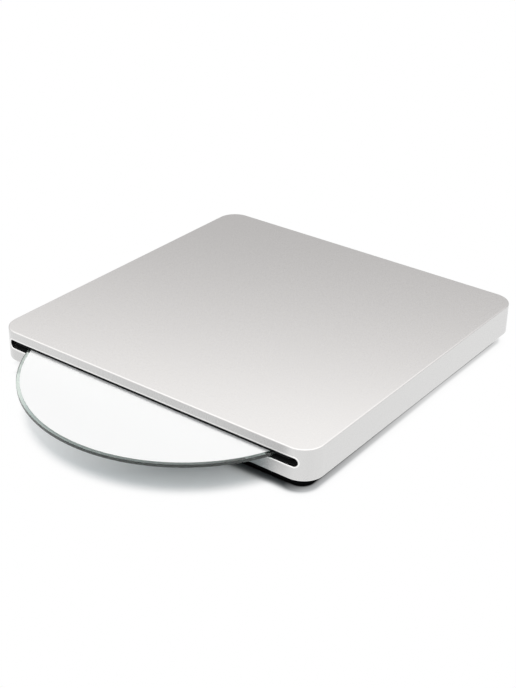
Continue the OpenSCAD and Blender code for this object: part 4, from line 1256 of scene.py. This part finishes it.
def key_light(power):
    """One square, soft lamp overhead, which metal doesn't mirror."""
    lamp = bpy.data.lights.new("key", "AREA")
    lamp.shape = "RECTANGLE"
    lamp.size = lamp.size_y = KEY_SIZE * MM
    lamp.energy = power
    lamp.color = (1.0, 0.992, 0.98)
    placed("key", lamp, KEY_PLACE, (0, 0, 0)).visible_glossy = False


def studio_world(ambient, zenith):
    """White surround for what is seen straight, in metal and through glass, a little brighter
    overhead. Everything else gets an ambient light that is stronger from the front left."""
    world = bpy.data.worlds.new("studio")
    bpy.context.scene.world = world
    world.use_nodes = True
    world.node_tree.nodes.clear()
    studio = Nodes(world.node_tree)
    heading = studio.node("TexCoord").outputs["Generated"]
    height = studio.axes(heading)["Z"]
    rise = studio.spread(height, 1.0, zenith, 0.4, 0.75, interpolation_type="SMOOTHSTEP")
    lean = studio.vector("DOT_PRODUCT", heading, (-0.55, -0.83, 0))
    side = studio.spread(lean, 0.3 * ambient, 1.7 * ambient, -1.0, 1.0)
    lit = studio.node("Background", (0.975, 1.0, 1.02, 1), side)
    seen = studio.node("Background", (1.012, 0.997, 0.988, 1), rise)
    mix = studio.node("MixShader", studio.seen(), lit.outputs[0], seen.outputs[0])
    studio.node("OutputWorld", mix.outputs[0])


def stage_sheet(name, corners, material, mirrored_only=False):
    """A flat sheet of the stage on four corners in millimetres."""
    mesh = bpy.data.meshes.new(name)
    mesh.from_pydata((np.array(corners) * MM).tolist(), [], [(0, 1, 2, 3)])
    mesh.materials.append(material)
    sheet = bpy.data.objects.new(name, mesh)
    bpy.context.scene.collection.objects.link(sheet)
    if mirrored_only:
        sheet.visible_camera = sheet.visible_diffuse = False
        sheet.visible_shadow = sheet.visible_transmission = False


def mirror_card(name, corners, axis, stops, tone=(1.0, 1.0, 1.0)):
    """Studio card that only the metal mirrors. Its glow, the tone times a level, goes smoothly from
    stop to stop along an axis; each stop is a place in millimetres and a level."""
    shade = Shade(name, (stops[0][1],) * 3, 1.0)
    colours = [(at * MM, tuple(level * part for part in tone)) for at, level in stops]
    ends = colours[0][0], colours[-1][0]
    glow = shade.ramp(shade.axes(shade.coords)[axis], colours, *ends, "EASE")
    stage_sheet(name, corners, shade.show(shade.node("Emission", glow, 1.0)), True)


def back_card(grey):
    """Upright card behind the drive, square to its heading; it goes from grey to white upwards."""
    away = np.array([math.cos(CARD_HEADING), math.sin(CARD_HEADING), 0])
    along = np.array([-away[1], away[0], 0])
    ends = ((-1, 0), (1, 0), (1, CARD_TOP), (-1, CARD_TOP))
    middle = away * CARD_DISTANCE
    corners = [middle + along * CARD_HALF * side + np.array([0, 0, z]) for side, z in ends]
    mirror_card("back_card", corners, "Z", ((CARD_LOW, grey), (CARD_TOP, 0.99)), CARD_WARMTH)


def front_shade_card(grey):
    """Narrow card along the front wall above the disc, which only the metal mirrors: painted shade
    in the front wall's reflection, darker to the right; then it ends.
    """
    front = -settings().cover.depth / MM / 2 - FLAG_GAP
    (left, right), (low, high) = FLAG_X, FLAG_Z
    corners = [(x, front, z) for x, z in ((left, low), (right, low), (right, high), (left, high))]
    stops = ((-75, 1.33 * grey), (25, 1.13 * grey), (57.5, grey), (right, 1.0))
    mirror_card("front_shade_card", corners, "X", stops)


def floor_material(colour):
    """Pale matt floor. Under the drive and the disc it is lit as it is and keeps their shadow.
    Outside their outlines it shows plain white. Painted light lifts the shadow under the disc's
    left part, at the case's left front corner, along its right side and towards its back. Painted
    shade darkens the floor close to the case and makes it black within the base's outline, and in
    what the metal mirrors the floor is darker in front of the front wall and its shadows are
    deeper. The distance to the disc is the length from its middle less its radius. The distance to
    an outline is the length of what the point lies beyond its corner centres, less its corner
    radius. All lengths are in millimetres."""
    cover, disc = settings().cover, settings().disc
    shade = Shade("floor", colour, 0.9).put("Specular IOR Level", 0.0)
    spread, number, vector = shade.spread, shade.number, shade.vector
    flat = shade.scaled(1, 1, FLAT)
    axes = shade.axes(flat)
    x, y = axes["X"], axes["Y"]

    def outline_distance(wider, deeper, corner):
        half = np.array([cover.width / MM / 2 + wider, cover.depth / MM / 2 + deeper])
        inner = (*(half - corner).tolist(), 0)
        beyond = vector("SUBTRACT", vector("ABSOLUTE", flat), inner)
        return number("SUBTRACT", vector("LENGTH", vector("MAXIMUM", beyond, (0, 0, 0))), corner)

    def fade(distance, inmost, *stops):
        greys = [(at, (level,) * 3) for at, level in ((FADE_IN, inmost), *stops)]
        return shade.ramp(distance, greys, FADE_IN, FADE_OUT, "B_SPLINE")

    to_disc = number("SUBTRACT", from_disc_middle(shade), disc.radius / MM)
    to_base = outline_distance(-BASE_INSET, -BASE_INSET, BASE_CORNER)
    # painted light: the y term brings the white closer to the case towards its back, which shortens
    # the shadow there
    to_case = number("ADD", outline_distance(-0.6, 0.9, 9.0), spread(y, 0.0, 1.2, -50, 20))
    under_disc = fade(
        to_disc, 0.02, (-14, 0.2), (-8, 0.28), (-5.5, 0.34), (-3, 0.7), (-1, 0.97), (0.5, 1)
    )
    # painted light: more white under the disc's left part, which lifts its shadow there
    painted_light_left = spread(x, 0.0, 0.74, 45, -50)
    under_case = fade(
        to_case, 0, (-4, 0), (-2.8, 0.03), (-2, 0.22), (-1.3, 0.5), (-0.7, 0.78), (0.2, 1)
    )
    # painted light: white close to the case's left front corner, which takes the shadow away there
    painted_light_corner = spread(vector("LENGTH", vector("SUBTRACT", flat, (-68, -70, 0))), 1.0, 0.0, 4, 18)
    # painted light: more white along the case's right side, growing towards the back, which lifts
    # its shadow there
    level = number("ADD", spread(y, 0.2, 0.55, -66, 10), spread(to_base, 0.0, 0.2, 0, 2.2))
    painted_light_right = number("MULTIPLY", spread(x, 0.0, 1.0, 57.5, 65), level)
    outside_base = spread(to_base, 0.0, 1.0, -0.4, 0.3)
    away = number(
        "MULTIPLY",
        number("MAXIMUM", under_disc, painted_light_left),
        number("MAXIMUM", under_case, painted_light_corner, painted_light_right),
        outside_base,
    )
    # painted shade: the floor's colour is darkened close to the case, and black within the base's
    # outline
    painted_contact_shadow = fade(
        outline_distance(-2.0, 1.0, cover.corner / MM),
        0.03, (-5.4, 0.05), (-4.4, 0.17), (-2.5, 0.27), (-1, 0.5), (1.5, 1),
    )
    dark = number("MULTIPLY", painted_contact_shadow, outside_base)
    shade.put("Base Color", shade.blend(dark, (0.0, 0.0, 0.0), shade.colour))
    mirrored = shade.node("LightPath").outputs["Is Glossy Ray"]
    # painted shade: for what the metal mirrors, the floor glows less in a band before the front
    # wall, more so to the right up to the corner
    along_wall = number("MULTIPLY", spread(x, 0.07, 0.30, -83, 46), spread(x, 1.0, 0.0, 47, 60))
    before_wall = number("MULTIPLY", spread(y, 1.0, 0.0, -74, -68), spread(y, 0.0, 1.0, -112, -98))
    painted_reflection_shade = number("MULTIPLY", along_wall, before_wall, mirrored)
    white = shade.node("Emission", Strength=number("SUBTRACT", 1.0, painted_reflection_shade))
    # painted shade: in what the metal mirrors, the floor's shadows are made deeper
    away = number("POWER", away, number("ADD", number("MULTIPLY", mirrored, 2.0), 1.0))
    share_white = number("MULTIPLY", shade.seen(), away)
    mix = shade.node("MixShader", share_white, shade.surface.outputs[0], white.outputs[0])
    return shade.show(mix)


class DRIVE_OT_stage(bpy.types.Operator):
    """Camera, floor, lights and surround"""

    bl_idname = "drive.stage"
    bl_label = "Stage"

    def execute(self, context):
        stage = settings().stage
        context.scene.view_settings.view_transform = "Standard"
        context.scene.camera = photo_camera()
        studio_world(stage.ambient, stage.zenith)
        key_light(stage.key)
        back_card(stage.card)
        front_shade_card(stage.flag)
        corners = [(x * FLOOR_HALF, y * FLOOR_HALF, 0) for x, y in CORNERS]
        stage_sheet("floor", corners, floor_material(stage.floor))
        return {"FINISHED"}


STEPS = (
    DRIVE_OT_stage,
    DRIVE_OT_cover,
    DRIVE_OT_disc,
    DRIVE_OT_base,
    DRIVE_OT_felts,
    DRIVE_OT_screws,
    DRIVE_OT_port,
    DRIVE_OT_unit,
    DRIVE_OT_loader,
    DRIVE_OT_traverse,
)


class DRIVE_PT_panel(bpy.types.Panel):
    """Lists the drive's pieces and their settings"""

    bl_idname = "DRIVE_PT_panel"
    bl_label = "Disc drive"
    bl_space_type = "VIEW_3D"
    bl_region_type = "UI"
    bl_category = "Drive"

    def draw(self, context):
        drive = context.scene.disc_drive
        for step in STEPS:
            self.layout.operator(step.bl_idname)
        for group in (drive.cover, drive.disc, drive.finish, drive.stage):
            box = self.layout.box()
            for name in group.__annotations__:
                box.prop(group, name)


CLASSES = (DriveCover, DriveDisc, DriveFinish, DriveStage, DriveSettings, *STEPS, DRIVE_PT_panel)


def register():
    """Registers the classes and puts the settings on the scene."""
    for kind in CLASSES:
        bpy.utils.register_class(kind)
    bpy.types.Scene.disc_drive = PointerProperty(type=DriveSettings)


def unregister():
    """Takes away what register has put there."""
    del bpy.types.Scene.disc_drive
    for kind in reversed(CLASSES):
        bpy.utils.unregister_class(kind)


def main():
    """Registers the classes and runs every step in order."""
    register()
    for step in STEPS:
        group, name = step.bl_idname.split(".")
        getattr(getattr(bpy.ops, group), name)()


if __name__ == "__main__":
    main()
